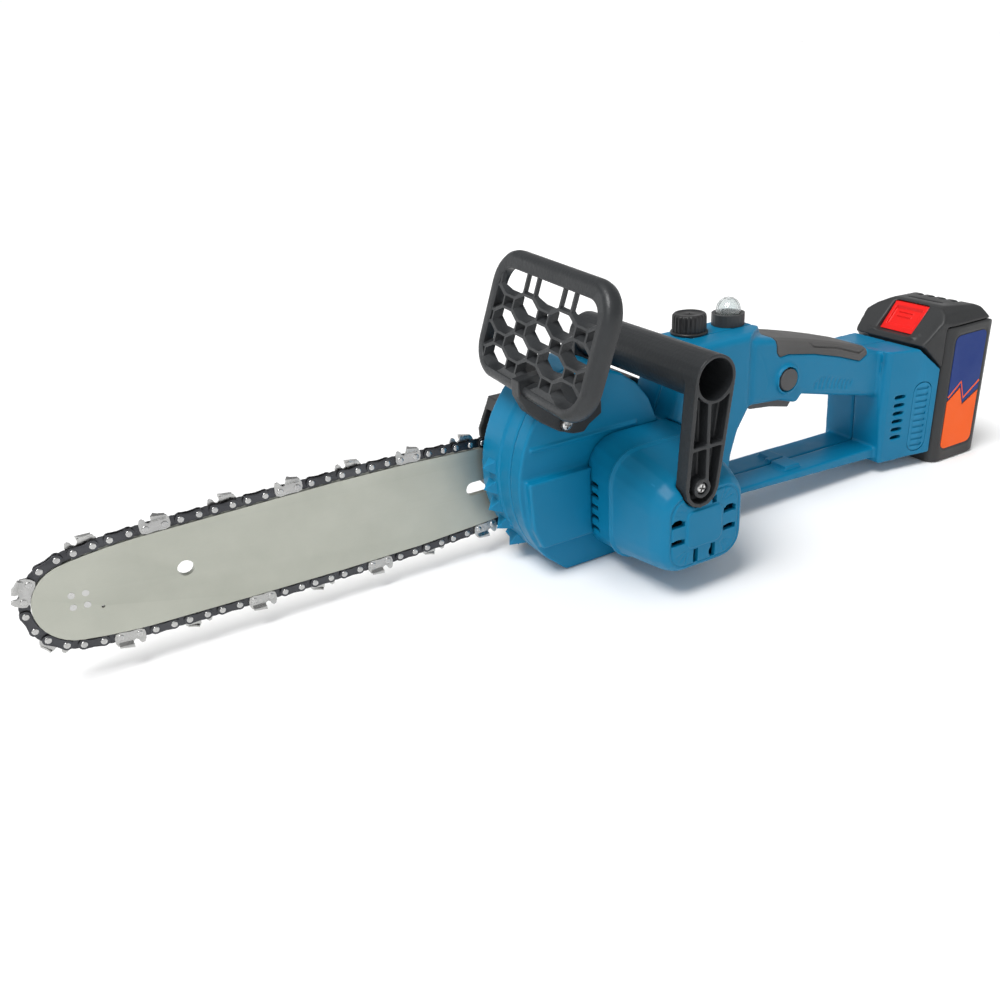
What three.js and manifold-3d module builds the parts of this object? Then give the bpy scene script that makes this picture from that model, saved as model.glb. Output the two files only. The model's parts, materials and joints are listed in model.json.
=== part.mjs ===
// A cordless chainsaw with a 300 mm bar, built as it comes apart on a bench.
// Millimetres. +X runs from the bar's nose to the battery, -Y is the operator's left, +Z is up.
// The model is drawn round the bar: x = 0 lies 17 mm behind the nose wheel, y = 0 is the bar's
// middle plane and z = 0 its centre line. The last group moves it onto the centre of its footprint.
import * as THREE from "three";
import { mergeVertices } from "three/addons/utils/BufferGeometryUtils.js";
import Module from "manifold-3d";

const wasm = await Module();
wasm.setup();

// ---- driving dimensions -------------------------------------------------------------------------
const GAP = 0.3; // between pieces that touch
const WALL = 3; // moulded casings
const FLOOR_Z = -49.6; // what the saw stands on

// Chain: low-profile 3/8 inch pitch, so two rivet spacings are 19.05 mm.
const LINK_PAIR = 19.05;
const NOSE_TEETH = 9;
const DRIVE_TEETH = 6;
const NOSE = { x: -17, z: 0 };
const DRIVE = { x: 330, z: 0 };
const FLANK = { base: 31.2, square: 2.5157e-4, cube: -1.19102e-6, start: 30, end: 285 };
const STRAP_HALF_HEIGHT = 3;
const CHAIN_HALF_WIDTH = 2.2;
const CUTTER_COUNT = 22;
const CUTTER = { length: 13, rise: 4.6, depthGauge: 3.6, side: 3.9 };

const BAR_HALF = 2; // half the bar's thickness
const BAR_INSET = 3.4; // rail edge inside the rivet line
const SLOT = { front: 219.6, rear: 297, half: 4.5 };
const STUD_X = [250, 280];
const STUD_RADIUS = 4;
const TENSION = { y: -9, z: -11.4, travelFront: 1, travelRear: 3 };

// Main planes across the saw.
const CASE_RIGHT = -6;
const CASE_LEFT = -52;
const HANDLE_MID = -40;
const HANDLE_HALF = 20;
const MOTOR = { x: 314, z: -3, end: -123 };
const TUBE = { x: 318, z: 86, radius: 14, bore: 12, left: -125 };
const HOLDER_REAR = 577;
const BATTERY = { front: 577.6, rear: 629.5, left: -77.5, right: -2.5, top: 56 };
const DECK_Z = 81;

// ---- materials ----------------------------------------------------------------------------------
const finish = (color, roughness, metalness = 0) =>
  new THREE.MeshStandardMaterial({ color, roughness, metalness });
const blue = finish(0x0a86b4, 0.5);
const black = finish(0x2a2b2b, 0.6);
const charcoal = finish(0x3d3f40, 0.6);
const rubber = finish(0x474747, 0.85);
const red = finish(0xe62f24, 0.45);
const steel = finish(0xb9b9b4, 0.35, 0.9);
const darkSteel = finish(0x3a3d40, 0.4, 0.8);
const aluminium = finish(0xa9adb0, 0.45, 0.9);
const copper = finish(0xb06a3a, 0.4, 0.8);
const white = finish(0xe6e6df, 0.5);
const green = finish(0x1d6b3a, 0.5);
const clear = new THREE.MeshStandardMaterial({ color: 0xe8eef0, roughness: 0.1, opacity: 0.4 });

// ---- solids and outlines ------------------------------------------------------------------------
// A closed three.js geometry as a solid, turned the right way out.
function solid(geometry) {
  const bare = geometry.index ? geometry.toNonIndexed() : geometry.clone();
  bare.deleteAttribute("normal");
  bare.deleteAttribute("uv");
  const merged = mergeVertices(bare, 1e-3);
  const triVerts = new Uint32Array(merged.index.array);
  const vertProperties = merged.attributes.position.array;
  const made = new wasm.Manifold(new wasm.Mesh({ numProp: 3, vertProperties, triVerts }));
  if (made.volume() > 0) return made;
  for (let i = 0; i < triVerts.length; i += 3)
    [triVerts[i + 1], triVerts[i + 2]] = [triVerts[i + 2], triVerts[i + 1]];
  return new wasm.Manifold(new wasm.Mesh({ numProp: 3, vertProperties, triVerts }));
}

const join = (...parts) => parts.reduce((all, part) => all.add(part));
const cut = (body, ...tools) => tools.reduce((left, tool) => left.subtract(tool), body);

// Prisms of an outline: drawn in XZ and run along Y, drawn in YZ and run along X, or drawn in XY
// and run along Z. The two numbers are where the prism starts and ends.
const EXTRUDE = { bevelEnabled: false, curveSegments: 3 };
function extruded(outline, length, options) {
  const shape = outline instanceof THREE.Shape ? outline : new THREE.Shape(outline);
  return new THREE.ExtrudeGeometry(shape, { ...EXTRUDE, ...options, depth: length });
}
function prismY(outline, low, high, options) {
  const geometry = extruded(outline, high - low, options);
  return solid(geometry.rotateX(Math.PI / 2).translate(0, high, 0));
}
const YZ_TO_X = new THREE.Matrix4().makeBasis(
  new THREE.Vector3(0, 1, 0),
  new THREE.Vector3(0, 0, 1),
  new THREE.Vector3(1, 0, 0),
);
function prismX(outline, low, high) {
  return solid(extruded(outline, high - low).applyMatrix4(YZ_TO_X).translate(low, 0, 0));
}
function prismZ(outline, low, high) {
  return solid(extruded(outline, high - low).translate(0, 0, low));
}
function box(x0, x1, y0, y1, z0, z1) {
  const geometry = new THREE.BoxGeometry(x1 - x0, y1 - y0, z1 - z0);
  return solid(geometry.translate((x0 + x1) / 2, (y0 + y1) / 2, (z0 + z1) / 2));
}
function cylinder(radius, length, sides) {
  return new THREE.CylinderGeometry(radius, radius, length, sides);
}
// Round bars along each axis, by centre and the two ends.
function rodY(x, z, radius, y0, y1, sides = 20) {
  return solid(cylinder(radius, y1 - y0, sides).translate(x, (y0 + y1) / 2, z));
}
function rodZ(x, y, radius, z0, z1, sides = 20) {
  const bar = cylinder(radius, z1 - z0, sides).rotateX(Math.PI / 2);
  return solid(bar.translate(x, y, (z0 + z1) / 2));
}
function rodX(y, z, radius, x0, x1, sides = 16) {
  const bar = cylinder(radius, x1 - x0, sides).rotateZ(Math.PI / 2);
  return solid(bar.translate((x0 + x1) / 2, y, z));
}
const ringY = (x, z, outer, inner, y0, y1, sides = 24) =>
  rodY(x, z, outer, y0, y1, sides).subtract(rodY(x, z, inner, y0 - 1, y1 + 1, sides));

const point = (x, y) => new THREE.Vector2(x, y);
const outlineOf = (pairs) => pairs.map(([x, y]) => point(x, y));

function roundedRectangle(x0, y0, x1, y1, radius) {
  const shape = new THREE.Shape();
  shape.absarc(x1 - radius, y0 + radius, radius, -Math.PI / 2, 0);
  shape.absarc(x1 - radius, y1 - radius, radius, 0, Math.PI / 2);
  shape.absarc(x0 + radius, y1 - radius, radius, Math.PI / 2, Math.PI);
  shape.absarc(x0 + radius, y0 + radius, radius, Math.PI, 1.5 * Math.PI);
  shape.closePath();
  return shape;
}

// Two circles and the straight sides between them.
function taperedSlot(a, radiusA, b, radiusB) {
  const heading = Math.atan2(b.y - a.y, b.x - a.x);
  const lean = Math.acos((radiusA - radiusB) / a.distanceTo(b));
  const shape = new THREE.Shape();
  shape.absarc(a.x, a.y, radiusA, heading + lean, heading - lean + 2 * Math.PI);
  shape.absarc(b.x, b.y, radiusB, heading - lean, heading + lean);
  shape.closePath();
  return shape;
}

// An outline moved inwards by the same distance along each of its sides.
function inset(outline, distance) {
  const points = outline instanceof THREE.Shape ? outline.getPoints(5) : outline;
  const ring = points.filter((p, i) => p.distanceTo(points[(i + 1) % points.length]) > 1e-6);
  const inward = THREE.ShapeUtils.isClockWise(ring) ? -distance : distance;
  return ring.map((p, i) => {
    const before = ring[(i + ring.length - 1) % ring.length];
    const after = ring[(i + 1) % ring.length];
    const one = p.clone().sub(before).normalize();
    const two = after.clone().sub(p).normalize();
    const normal = point(-one.y - two.y, one.x + two.x).normalize();
    const stretch = 1 / Math.max(0.5, normal.dot(point(-one.y, one.x)));
    return p.clone().addScaledVector(normal, inward * stretch);
  });
}

// A round wire along a helix, for the coil springs, standing along +Z from z = 0.
function coil(radius, wire, length, turns) {
  class Helix extends THREE.Curve {
    getPoint(t, target = new THREE.Vector3()) {
      const angle = 2 * Math.PI * turns * t;
      const z = wire + (length - 2 * wire) * t;
      return target.set(radius * Math.cos(angle), radius * Math.sin(angle), z);
    }
  }
  const section = new THREE.Shape().absarc(0, 0, wire, 0, 2 * Math.PI);
  const options = { extrudePath: new Helix(), steps: turns * 8, curveSegments: 2 };
  return new THREE.ExtrudeGeometry(section, { ...EXTRUDE, ...options });
}

// A tube through points, for hoses and leads.
function tube(points, radius, steps) {
  const path = new THREE.CatmullRomCurve3(points.map((p) => new THREE.Vector3(...p)));
  const section = new THREE.Shape().absarc(0, 0, radius, 0, 2 * Math.PI);
  const options = { extrudePath: path, steps, curveSegments: 3 };
  return solid(new THREE.ExtrudeGeometry(section, { ...EXTRUDE, ...options }));
}

// ---- the object ---------------------------------------------------------------------------------
const saw = new THREE.Group();
function add(name, body, material) {
  const mesh = body.getMesh();
  const geometry = new THREE.BufferGeometry();
  geometry.setAttribute("position", new THREE.BufferAttribute(mesh.vertProperties, 3));
  geometry.setIndex(new THREE.BufferAttribute(mesh.triVerts, 1));
  geometry.computeVertexNormals();
  const node = new THREE.Mesh(geometry, material);
  node.name = name;
  saw.add(node);
}

// ---- chain line ---------------------------------------------------------------------------------
const noseRadius = (NOSE_TEETH * LINK_PAIR) / (2 * Math.PI);
const driveRadius = (DRIVE_TEETH * LINK_PAIR) / (2 * Math.PI);
const flankHeight = (x) => FLANK.base + FLANK.square * x * x + FLANK.cube * x ** 3;

// The line through the rivets on the top run, from the nose's tip back to the drive sprocket's
// rearmost point: round the nose wheel, along the bowed flank and down onto the drive sprocket.
function topRivetLine() {
  const line = new THREE.Path();
  const leave = THREE.MathUtils.degToRad(100);
  line.absarc(NOSE.x, NOSE.z, noseRadius, Math.PI, leave, true);
  line.quadraticCurveTo(2, FLANK.base, FLANK.start, flankHeight(FLANK.start));
  for (let x = FLANK.start + 51; x <= FLANK.end; x += 51) line.lineTo(x, flankHeight(x));
  line.absarc(DRIVE.x, DRIVE.z, driveRadius, THREE.MathUtils.degToRad(82), 0, true);
  return line.getPoints(4);
}

// The closed rivet line, moved outwards by a distance.
function chainLoop(outward) {
  const top = topRivetLine();
  const bottom = top.slice(1, -1).reverse();
  const loop = [...top, ...bottom.map((p) => point(p.x, -p.y))];
  return inset(loop, -outward);
}

// A point on the rivet line at a share of its length, with the direction of travel there.
const rivetPath = new THREE.CatmullRomCurve3(
  chainLoop(0).map((p) => new THREE.Vector3(p.x, 0, p.y)),
  true,
);

// One cutter: a hooked top plate with its depth gauge ahead of it, standing on the chain.
function cutter(index) {
  const share = (index + 0.35) / CUTTER_COUNT;
  const at = rivetPath.getPointAt(share);
  const along = rivetPath.getTangentAt(share);
  const half = CUTTER.length / 2;
  const base = STRAP_HALF_HEIGHT - 1;
  const top = STRAP_HALF_HEIGHT + CUTTER.rise;
  const profile = outlineOf([
    [-half, base],
    [half, base],
    [half - 0.5, STRAP_HALF_HEIGHT + CUTTER.depthGauge],
    [half - 4, STRAP_HALF_HEIGHT + CUTTER.depthGauge],
    [half - 5, STRAP_HALF_HEIGHT],
    [half - 6.5, top],
    [-half + 0.5, top - 1],
  ]);
  const side = index % 2 ? 1 : -1;
  const low = side > 0 ? -1 : -CUTTER.side;
  const body = extruded(profile, CUTTER.side + 1).rotateX(Math.PI / 2);
  body.translate(0, low + CUTTER.side + 1, 0);
  // The chain runs forward along the top, so the cutting edge faces the nose.
  const turn = Math.atan2(along.z, along.x);
  body.applyMatrix4(new THREE.Matrix4().makeScale(-1, 1, 1));
  body.rotateY(-turn);
  return solid(body.translate(at.x, 0, at.z));
}

// The saw chain as one closed band with its cutters. Its drive tangs are left out.
function sawChain() {
  const band = prismY(chainLoop(STRAP_HALF_HEIGHT), -CHAIN_HALF_WIDTH, CHAIN_HALF_WIDTH);
  const inner = prismY(chainLoop(-STRAP_HALF_HEIGHT), -9, 9);
  const cutters = [...Array(CUTTER_COUNT).keys()].map(cutter);
  return cut(join(band, ...cutters), inner);
}

// ---- bar ----------------------------------------------------------------------------------------
const NOSE_HUB = 8.7;
const POCKET_HALF = 1;

function guideBar() {
  const edge = chainLoop(-BAR_INSET).filter((p) => p.x <= FLANK.end);
  const split = edge.findIndex((p) => p.x > FLANK.end - 1 && p.y < 0);
  const tail = outlineOf([[297, 18.5], [306, 12], [306, -12], [297, -18.5]]);
  const outline = [...edge.slice(0, split), ...tail, ...edge.slice(split)];
  const plate = prismY(outline, -BAR_HALF, BAR_HALF);
  const pocket = ringY(NOSE.x, NOSE.z, noseRadius - 2.7, NOSE_HUB, -POCKET_HALF, POCKET_HALF, 36);
  const slot = roundedRectangle(SLOT.front, -SLOT.half, SLOT.rear, SLOT.half, SLOT.half - 0.01);
  return cut(
    plate,
    pocket,
    prismY(slot, -9, 9),
    rodY(40.3, 1.7, 4.8, -9, 9, 16),
    rodY(272, TENSION.z, 3, -9, 9, 12),
    rodY(286, 17, 1.5, -9, 9, 8),
  );
}

// A star wheel: one pointed tooth per drive link, round a bore.
function starWheel(centre, teeth, tip, root, bore, y0, y1) {
  const outline = [];
  for (let i = 0; i < teeth; i++) {
    const step = (2 * Math.PI) / teeth;
    for (const [share, radius] of [[-0.16, tip], [0.16, tip], [0.36, root], [0.64, root]]) {
      const angle = (i + share) * step;
      const spread = point(radius * Math.cos(angle), radius * Math.sin(angle));
      outline.push(point(centre.x + spread.x, centre.z + spread.y));
    }
  }
  return prismY(outline, y0, y1).subtract(rodY(centre.x, centre.z, bore, y0 - 1, y1 + 1));
}

add("guide_bar", guideBar(), steel);
add("saw_chain", sawChain(), darkSteel);
add("nose_sprocket", starWheel(NOSE, NOSE_TEETH, 22.8, 18.5, NOSE_HUB + GAP, -0.65, 0.65), steel);

// ---- transmission -------------------------------------------------------------------------------
const GEAR_TEETH = 32;
const PINION_TEETH = 9;
const centreDistance = Math.hypot(DRIVE.x - MOTOR.x, DRIVE.z - MOTOR.z);
const gearModule = (2 * centreDistance) / (GEAR_TEETH + PINION_TEETH);
const GEAR_Y = [-27, -19];
const SHAFT_RADIUS = 4;

// A spur gear with straight-sided teeth, thinned so that they never bind, turned so that a tooth
// (or a space) points along the given angle.
function spurGear(centre, teeth, bore, y0, y1, facing) {
  const pitch = (gearModule * teeth) / 2;
  const tip = pitch + 0.85 * gearModule;
  const root = pitch - 1.15 * gearModule;
  const outline = [];
  for (let i = 0; i < teeth; i++) {
    const step = (2 * Math.PI) / teeth;
    for (const [share, radius] of [[-0.3, root], [-0.12, tip], [0.12, tip], [0.3, root]]) {
      const angle = facing + (i + share) * step;
      const x = centre.x + radius * Math.cos(angle);
      outline.push(point(x, centre.z + radius * Math.sin(angle)));
    }
  }
  return prismY(outline, y0, y1).subtract(rodY(centre.x, centre.z, bore, y0 - 1, y1 + 1));
}
const towardsMotor = Math.atan2(MOTOR.z - DRIVE.z, MOTOR.x - DRIVE.x);
const halfTooth = Math.PI / PINION_TEETH;

const gear = spurGear(DRIVE, GEAR_TEETH, SHAFT_RADIUS + 0.05, ...GEAR_Y, towardsMotor);
const pinion = spurGear(MOTOR, PINION_TEETH, 1.6, ...GEAR_Y, towardsMotor + Math.PI + halfTooth);
add("drive_gear", gear, steel);
add("pinion", pinion, steel);
add("output_shaft", rodY(DRIVE.x, DRIVE.z, SHAFT_RADIUS, -36, 9), steel);
const sprocketWheel = starWheel(DRIVE, DRIVE_TEETH, 13.5, 9.5, SHAFT_RADIUS + 0.05, -3.2, 3.2);
add("drive_sprocket", sprocketWheel, darkSteel);
add("sprocket_clip", ringY(DRIVE.x, DRIVE.z, 6.5, SHAFT_RADIUS + 0.05, 4.2, 5.4), darkSteel);
const BEARING = { outer: 9, inner: SHAFT_RADIUS + GAP };
const bearingAt = (y0, y1) => ringY(DRIVE.x, DRIVE.z, BEARING.outer, BEARING.inner, y0, y1);
add("outer_bearing", bearingAt(-15.5, -8), steel);
add("inner_bearing", bearingAt(-35, -30), steel);

// The plate that carries the inner bearing and the motor's nose.
const gearPlate = cut(
  prismY(roundedRectangle(285, -32, 348, 28, 8), -36, -29.5),
  rodY(DRIVE.x, DRIVE.z, BEARING.outer + 0.05, -35.3, -20, 24),
  rodY(DRIVE.x, DRIVE.z, SHAFT_RADIUS + 0.8, -40, -20),
  rodY(MOTOR.x, MOTOR.z, 4, -40, -20),
);
add("gear_plate", gearPlate, aluminium);

// Motor: can, magnets, rotor with its shaft, fan and tail bearing, all on the bulge's axis.
const CAN = { outer: 23, inner: 21, near: -36.5, far: -103 };
const motorCan = cut(
  rodY(MOTOR.x, MOTOR.z, CAN.outer, CAN.far, CAN.near, 32),
  rodY(MOTOR.x, MOTOR.z, CAN.inner, CAN.far - 1, CAN.near - 2, 32),
  rodY(MOTOR.x, MOTOR.z, 4, CAN.near - 9, CAN.near + 9),
);
add("motor_can", motorCan, steel);
add("motor_magnets", ringY(MOTOR.x, MOTOR.z, CAN.inner - 0.3, 16.5, -95, -48), darkSteel);
const rotor = join(
  rodY(MOTOR.x, MOTOR.z, 15.7, -92, -50, 24),
  rodY(MOTOR.x, MOTOR.z, 9, -101, -91),
  rodY(MOTOR.x, MOTOR.z, 1.55, -117, -18, 12),
);
add("motor_rotor", rotor, copper);
add("motor_bearing", ringY(MOTOR.x, MOTOR.z, 6, 1.9, -118.5, -115.5, 16), steel);
function fan() {
  const hub = rodY(MOTOR.x, MOTOR.z, 6, -111, -104.2, 16);
  const plate = rodY(MOTOR.x, MOTOR.z, 20, -105.6, -104.2, 24);
  const blades = [];
  for (let i = 0; i < 9; i++) {
    const blade = new THREE.BoxGeometry(14, 5.6, 1.2).translate(12.5, -108.2, 0);
    blades.push(solid(blade.rotateY((i * 2 * Math.PI) / 9).translate(MOTOR.x, 0, MOTOR.z)));
  }
  return join(hub, plate, ...blades).subtract(rodY(MOTOR.x, MOTOR.z, 1.6, -130, -90, 12));
}
add("motor_fan", fan(), black);

// ---- casing outlines, in XZ ---------------------------------------------------------------------
const RING = { x: 311, z: 13, radius: 80 };
const onRing = (z) => RING.x - Math.sqrt(RING.radius ** 2 - (z - RING.z) ** 2);

// Gear case: a round front, a domed top that falls away before the handle, and a flat base.
function gearCaseOutline() {
  const shape = new THREE.Shape();
  const low = Math.asin((RING.z + 36) / RING.radius);
  const high = Math.acos((RING.x - 262) / RING.radius);
  shape.absarc(RING.x, RING.z, RING.radius, Math.PI + low, Math.PI - high, true);
  shape.bezierCurveTo(280, 88, 323, 79, 335, 37);
  shape.lineTo(356, 25);
  shape.lineTo(356, FLOOR_Z);
  shape.lineTo(263, FLOOR_Z);
  shape.closePath();
  return shape.getPoints(7);
}
const tankOutline = outlineOf([
  [338, FLOOR_Z],
  [338, 30],
  [352, 70],
  [362, DECK_Z],
  [422, DECK_Z],
  [427, 75],
  [427, 32],
  [406, 29],
  [398, 16],
  [393, -1],
  [392, -14],
  [394, -30],
  [400, FLOOR_Z],
]);
// Seen from above, the tank block's rear corners are cut away.
const tankPlan = outlineOf([[330, -60], [403, -60], [427, -43], [427, -24], [413, -14], [330, -14]]);

// Rear handle: the top falls in one bow from the deck to the battery holder.
function handleOutline() {
  const shape = new THREE.Shape();
  shape.moveTo(405, 77);
  shape.lineTo(416, 76);
  shape.bezierCurveTo(450, 70, 490, 60, 533, 45);
  shape.lineTo(533, 10);
  shape.quadraticCurveTo(500, 17, 454.5, 28.7);
  shape.lineTo(450, 23.5);
  shape.lineTo(434, 28.5);
  shape.lineTo(405, 31);
  shape.closePath();
  return shape.getPoints(6);
}
const plateOutline = outlineOf([[388, -30.5], [388, -26.5], [536, -29], [538, -37.5]]);
const holderOutline = outlineOf([
  [531, -38],
  [528, 14],
  [526, 46],
  [557, 43.6],
  [HOLDER_REAR, 26],
  [HOLDER_REAR, -40],
  [532, -41],
]);
// Seen from above, the holder widens from the handle to the battery.
const holderPlan = outlineOf([
  [520, -62],
  [529, -66],
  [560, -71],
  [580, -75],
  [580, -5],
  [560, -9],
  [529, -14],
  [520, -18],
]);
const panelOutline = outlineOf([[235, 20], [300, 20], [300, -26], [243, -26], [237, -12]]);

// ---- motor housing ------------------------------------------------------------------------------
// A closed skin over rounded rectangles in XZ, each at its own y.
function loftY(sections) {
  const rings = sections.map(({ y, x0, x1, z0, z1, r }) =>
    roundedRectangle(x0, z0, x1, z1, r)
      .getPoints(2)
      .slice(0, 20)
      .map((p) => new THREE.Vector3(p.x, y, p.y)),
  );
  const count = rings[0].length;
  const positions = [];
  const triangle = (...corners) => corners.forEach((p) => positions.push(p.x, p.y, p.z));
  rings.slice(1).forEach((ring, k) => {
    for (let i = 0; i < count; i++) {
      const next = (i + 1) % count;
      triangle(rings[k][i], ring[i], ring[next]);
      triangle(rings[k][i], ring[next], rings[k][next]);
    }
  });
  for (let i = 1; i < count - 1; i++) {
    triangle(rings[0][0], rings[0][i], rings[0][i + 1]);
    const last = rings[rings.length - 1];
    triangle(last[0], last[i + 1], last[i]);
  }
  const geometry = new THREE.BufferGeometry();
  return solid(geometry.setAttribute("position", new THREE.Float32BufferAttribute(positions, 3)));
}

const HOUSING = [
  { y: CASE_LEFT - GAP, x0: 280, x1: 356, z0: -40, z1: 37.5, r: 20 },
  { y: -80, x0: 279, x1: 354.5, z0: -37, z1: 35, r: 20 },
  { y: -112, x0: 283, x1: 348, z0: -33.5, z1: 27, r: 18 },
  { y: -120, x0: 286, x1: 345.5, z0: -31, z1: 22.5, r: 15 },
  { y: MOTOR.end, x0: 289.5, x1: 342, z0: -28, z1: 19, r: 12 },
];
function housingSolid(grow) {
  return loftY(
    HOUSING.map(({ y, x0, x1, z0, z1, r }, i) => {
      const reach = i === 0 ? grow : i === HOUSING.length - 1 ? -grow : 0;
      return { y: y + reach, x0: x0 - grow, x1: x1 + grow, z0: z0 - grow, z1: z1 + grow, r: r + grow };
    }),
  );
}

// The front handle's left leg ends in a pocket in the housing's end.
const LEG = { foot: point(311, 22), footRadius: 12, outer: TUBE.left, inner: -115 };
const tubeCentre = point(TUBE.x, TUBE.z);
const legOutline = (grow) =>
  taperedSlot(tubeCentre, TUBE.radius + grow, LEG.foot, LEG.footRadius + grow);

function motorHousing() {
  const inside = housingSolid(-WALL).add(loftY([
    { y: CASE_LEFT + 5, x0: 283, x1: 353, z0: -37, z1: 34.5, r: 17 },
    { y: CASE_LEFT - 6, x0: 283, x1: 353, z0: -37, z1: 34.5, r: 17 },
  ]));
  const boss = rodY(LEG.foot.x, LEG.foot.y, 15, -121, -111.5, 24);
  const slots = [];
  for (const shift of [-7, 7]) {
    for (const [x0, x1] of [[292, 299], [331, 338]])
      slots.push(box(x0, x1, -130, -117, MOTOR.z - 1 + shift * 0.9, MOTOR.z + 1 + shift * 0.9));
    slots.push(box(MOTOR.x - 1 + shift, MOTOR.x + 1 + shift, -130, -117, -26, -20));
  }
  for (let i = 0; i < 5; i++) slots.push(box(265, 284, -64, -55, 8 - i * 7.5, 10 - i * 7.5));
  const cavity = cut(inside, boss);
  const bearingSeat = ringY(MOTOR.x, MOTOR.z, 9, 6.3, -121, -115.5, 16);
  return cut(
    join(cut(housingSolid(0), cavity), bearingSeat),
    prismY(legOutline(0.4), -140, LEG.inner + GAP),
    rodY(LEG.foot.x, LEG.foot.y, 1.8, -130, -105, 10),
    rodY(MOTOR.x, MOTOR.z, 1.9, -121, -110, 12),
    ...slots,
  );
}

// ---- casings ------------------------------------------------------------------------------------
const HANDLE_Y = [HANDLE_MID - HANDLE_HALF, HANDLE_MID + HANDLE_HALF];
const EASED = { bevelEnabled: true, bevelThickness: 5, bevelSize: 4, bevelOffset: -4, bevelSegments: 2 };
const easedPrismY = (outline, low, high) => prismY(outline, low + 5, high - 5, EASED);
const handleSolid = (grow) => {
  const [low, high] = HANDLE_Y;
  return easedPrismY(inset(handleOutline(), -grow), low - grow, high + grow);
};

// The rubber grip lies over the handle's top, between its two ends and above a falling line.
const gripOutline = outlineOf([
  [425, 95],
  [427.5, 64],
  [430, 60.5],
  [438, 61],
  [462, 56.5],
  [487, 49.5],
  [507, 42.5],
  [514, 46],
  [516, 95],
]);
const gripRegion = (shrink) =>
  prismY(
    inset(gripOutline, shrink),
    -80,
    0,
  );
const GRIP_THICKNESS = 2.6;

function casingOutside() {
  const gearCase = prismY(gearCaseOutline(), CASE_LEFT, CASE_RIGHT);
  const tankBlock = easedPrismY(tankOutline, -60, -14).intersect(prismZ(tankPlan, -90, 90));
  const plate = prismY(plateOutline, -62, -18);
  const holder = prismY(holderOutline, -90, 10).intersect(prismZ(holderPlan, -90, 90));
  const panel = prismY(panelOutline, CASE_LEFT - 6, CASE_LEFT + 1);
  const gripBed = handleSolid(1).subtract(handleSolid(-GRIP_THICKNESS)).intersect(gripRegion(0));
  const whole = join(gearCase, tankBlock, handleSolid(0), plate, holder, panel);
  return cut(whole, gripBed, housingSolid(GAP));
}

function casingInside() {
  const gearCase = prismY(inset(gearCaseOutline(), WALL), CASE_LEFT + WALL, CASE_RIGHT - WALL);
  const tankWalls = prismZ(inset(tankPlan, WALL), -90, 90);
  const tank = prismY(inset(tankOutline, WALL), -60 + WALL, -14 - WALL).intersect(tankWalls);
  const handle = prismY(inset(handleOutline(), 6), HANDLE_Y[0] + 6, HANDLE_Y[1] - 6);
  const plan = prismZ(inset(holderPlan, WALL), -90, 90);
  const holder = prismY(inset(holderOutline, WALL), -90, 10).intersect(plan);
  const passage = box(415, 440, -50, -28, 38, 68);
  const rearPassage = box(510, 537, -54, -26, 20, 40);
  const bay = box(550, 590, -90, 10, -90, 90);
  return join(cut(join(gearCase, tank), housingSolid(WALL + GAP)), handle, cut(holder, bay), passage, rearPassage);
}

// Bosses inside the right half, and the pad that the bar is clamped against.
const BAR_PAD_FACE = -BAR_HALF - GAP;
function barPad() {
  const pad = prismY(roundedRectangle(241, -21, 300, 21, 6), CASE_RIGHT - 1, BAR_PAD_FACE);
  const studBlock = box(240, 290, -24, CASE_RIGHT - 1, -7.5, 12);
  return join(pad, studBlock);
}
const shaftBoss = () => ringY(DRIVE.x, DRIVE.z, 12.5, BEARING.outer + 0.05, -16, -7);

// Claw spikes down the front, beside the bar.
const SPIKE = { count: 5, first: 20.8, pitch: 13.4, half: 5.5, height: 8.5 };
function spikes() {
  const made = [];
  for (let i = 0; i < SPIKE.count; i++) {
    const z = SPIKE.first - i * SPIKE.pitch;
    const pyramid = new THREE.ConeGeometry(SPIKE.half * Math.SQRT2, SPIKE.height + 6, 4);
    pyramid.rotateY(Math.PI / 4).rotateZ(Math.PI / 2);
    pyramid.rotateY(-Math.asin((z - RING.z) / RING.radius));
    const reach = (SPIKE.height - 6) / 2;
    const lean = Math.asin((z - RING.z) / RING.radius);
    made.push(
      solid(
        pyramid.translate(
          onRing(z) - reach * Math.cos(lean),
          -13.5,
          z + reach * Math.sin(lean),
        ),
      ),
    );
  }
  return made;
}

// Where moving and fastened pieces pass through the shells.
const LOCK = { x: 437, z: 44.4, radius: 7.5 };
const CAP = { x: 377, y: -30 };
const PRIMER = { x: 410, y: -30 };
const PIVOT = point(424, 37);
const TRIGGER_HALF = 8;
const RAIL = { front: 560, left: -60, right: -20, bottom: -32 };
const CASING_SCREWS = [[352, 58], [500, 34], [537, -29], [385, -36]];
const GUARD_SCREW = point(262.4, 53);
const RIGHT_LEG = { foot: point(311, 62), footRadius: 9, inner: CASE_RIGHT + GAP, outer: 2.3 };

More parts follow.
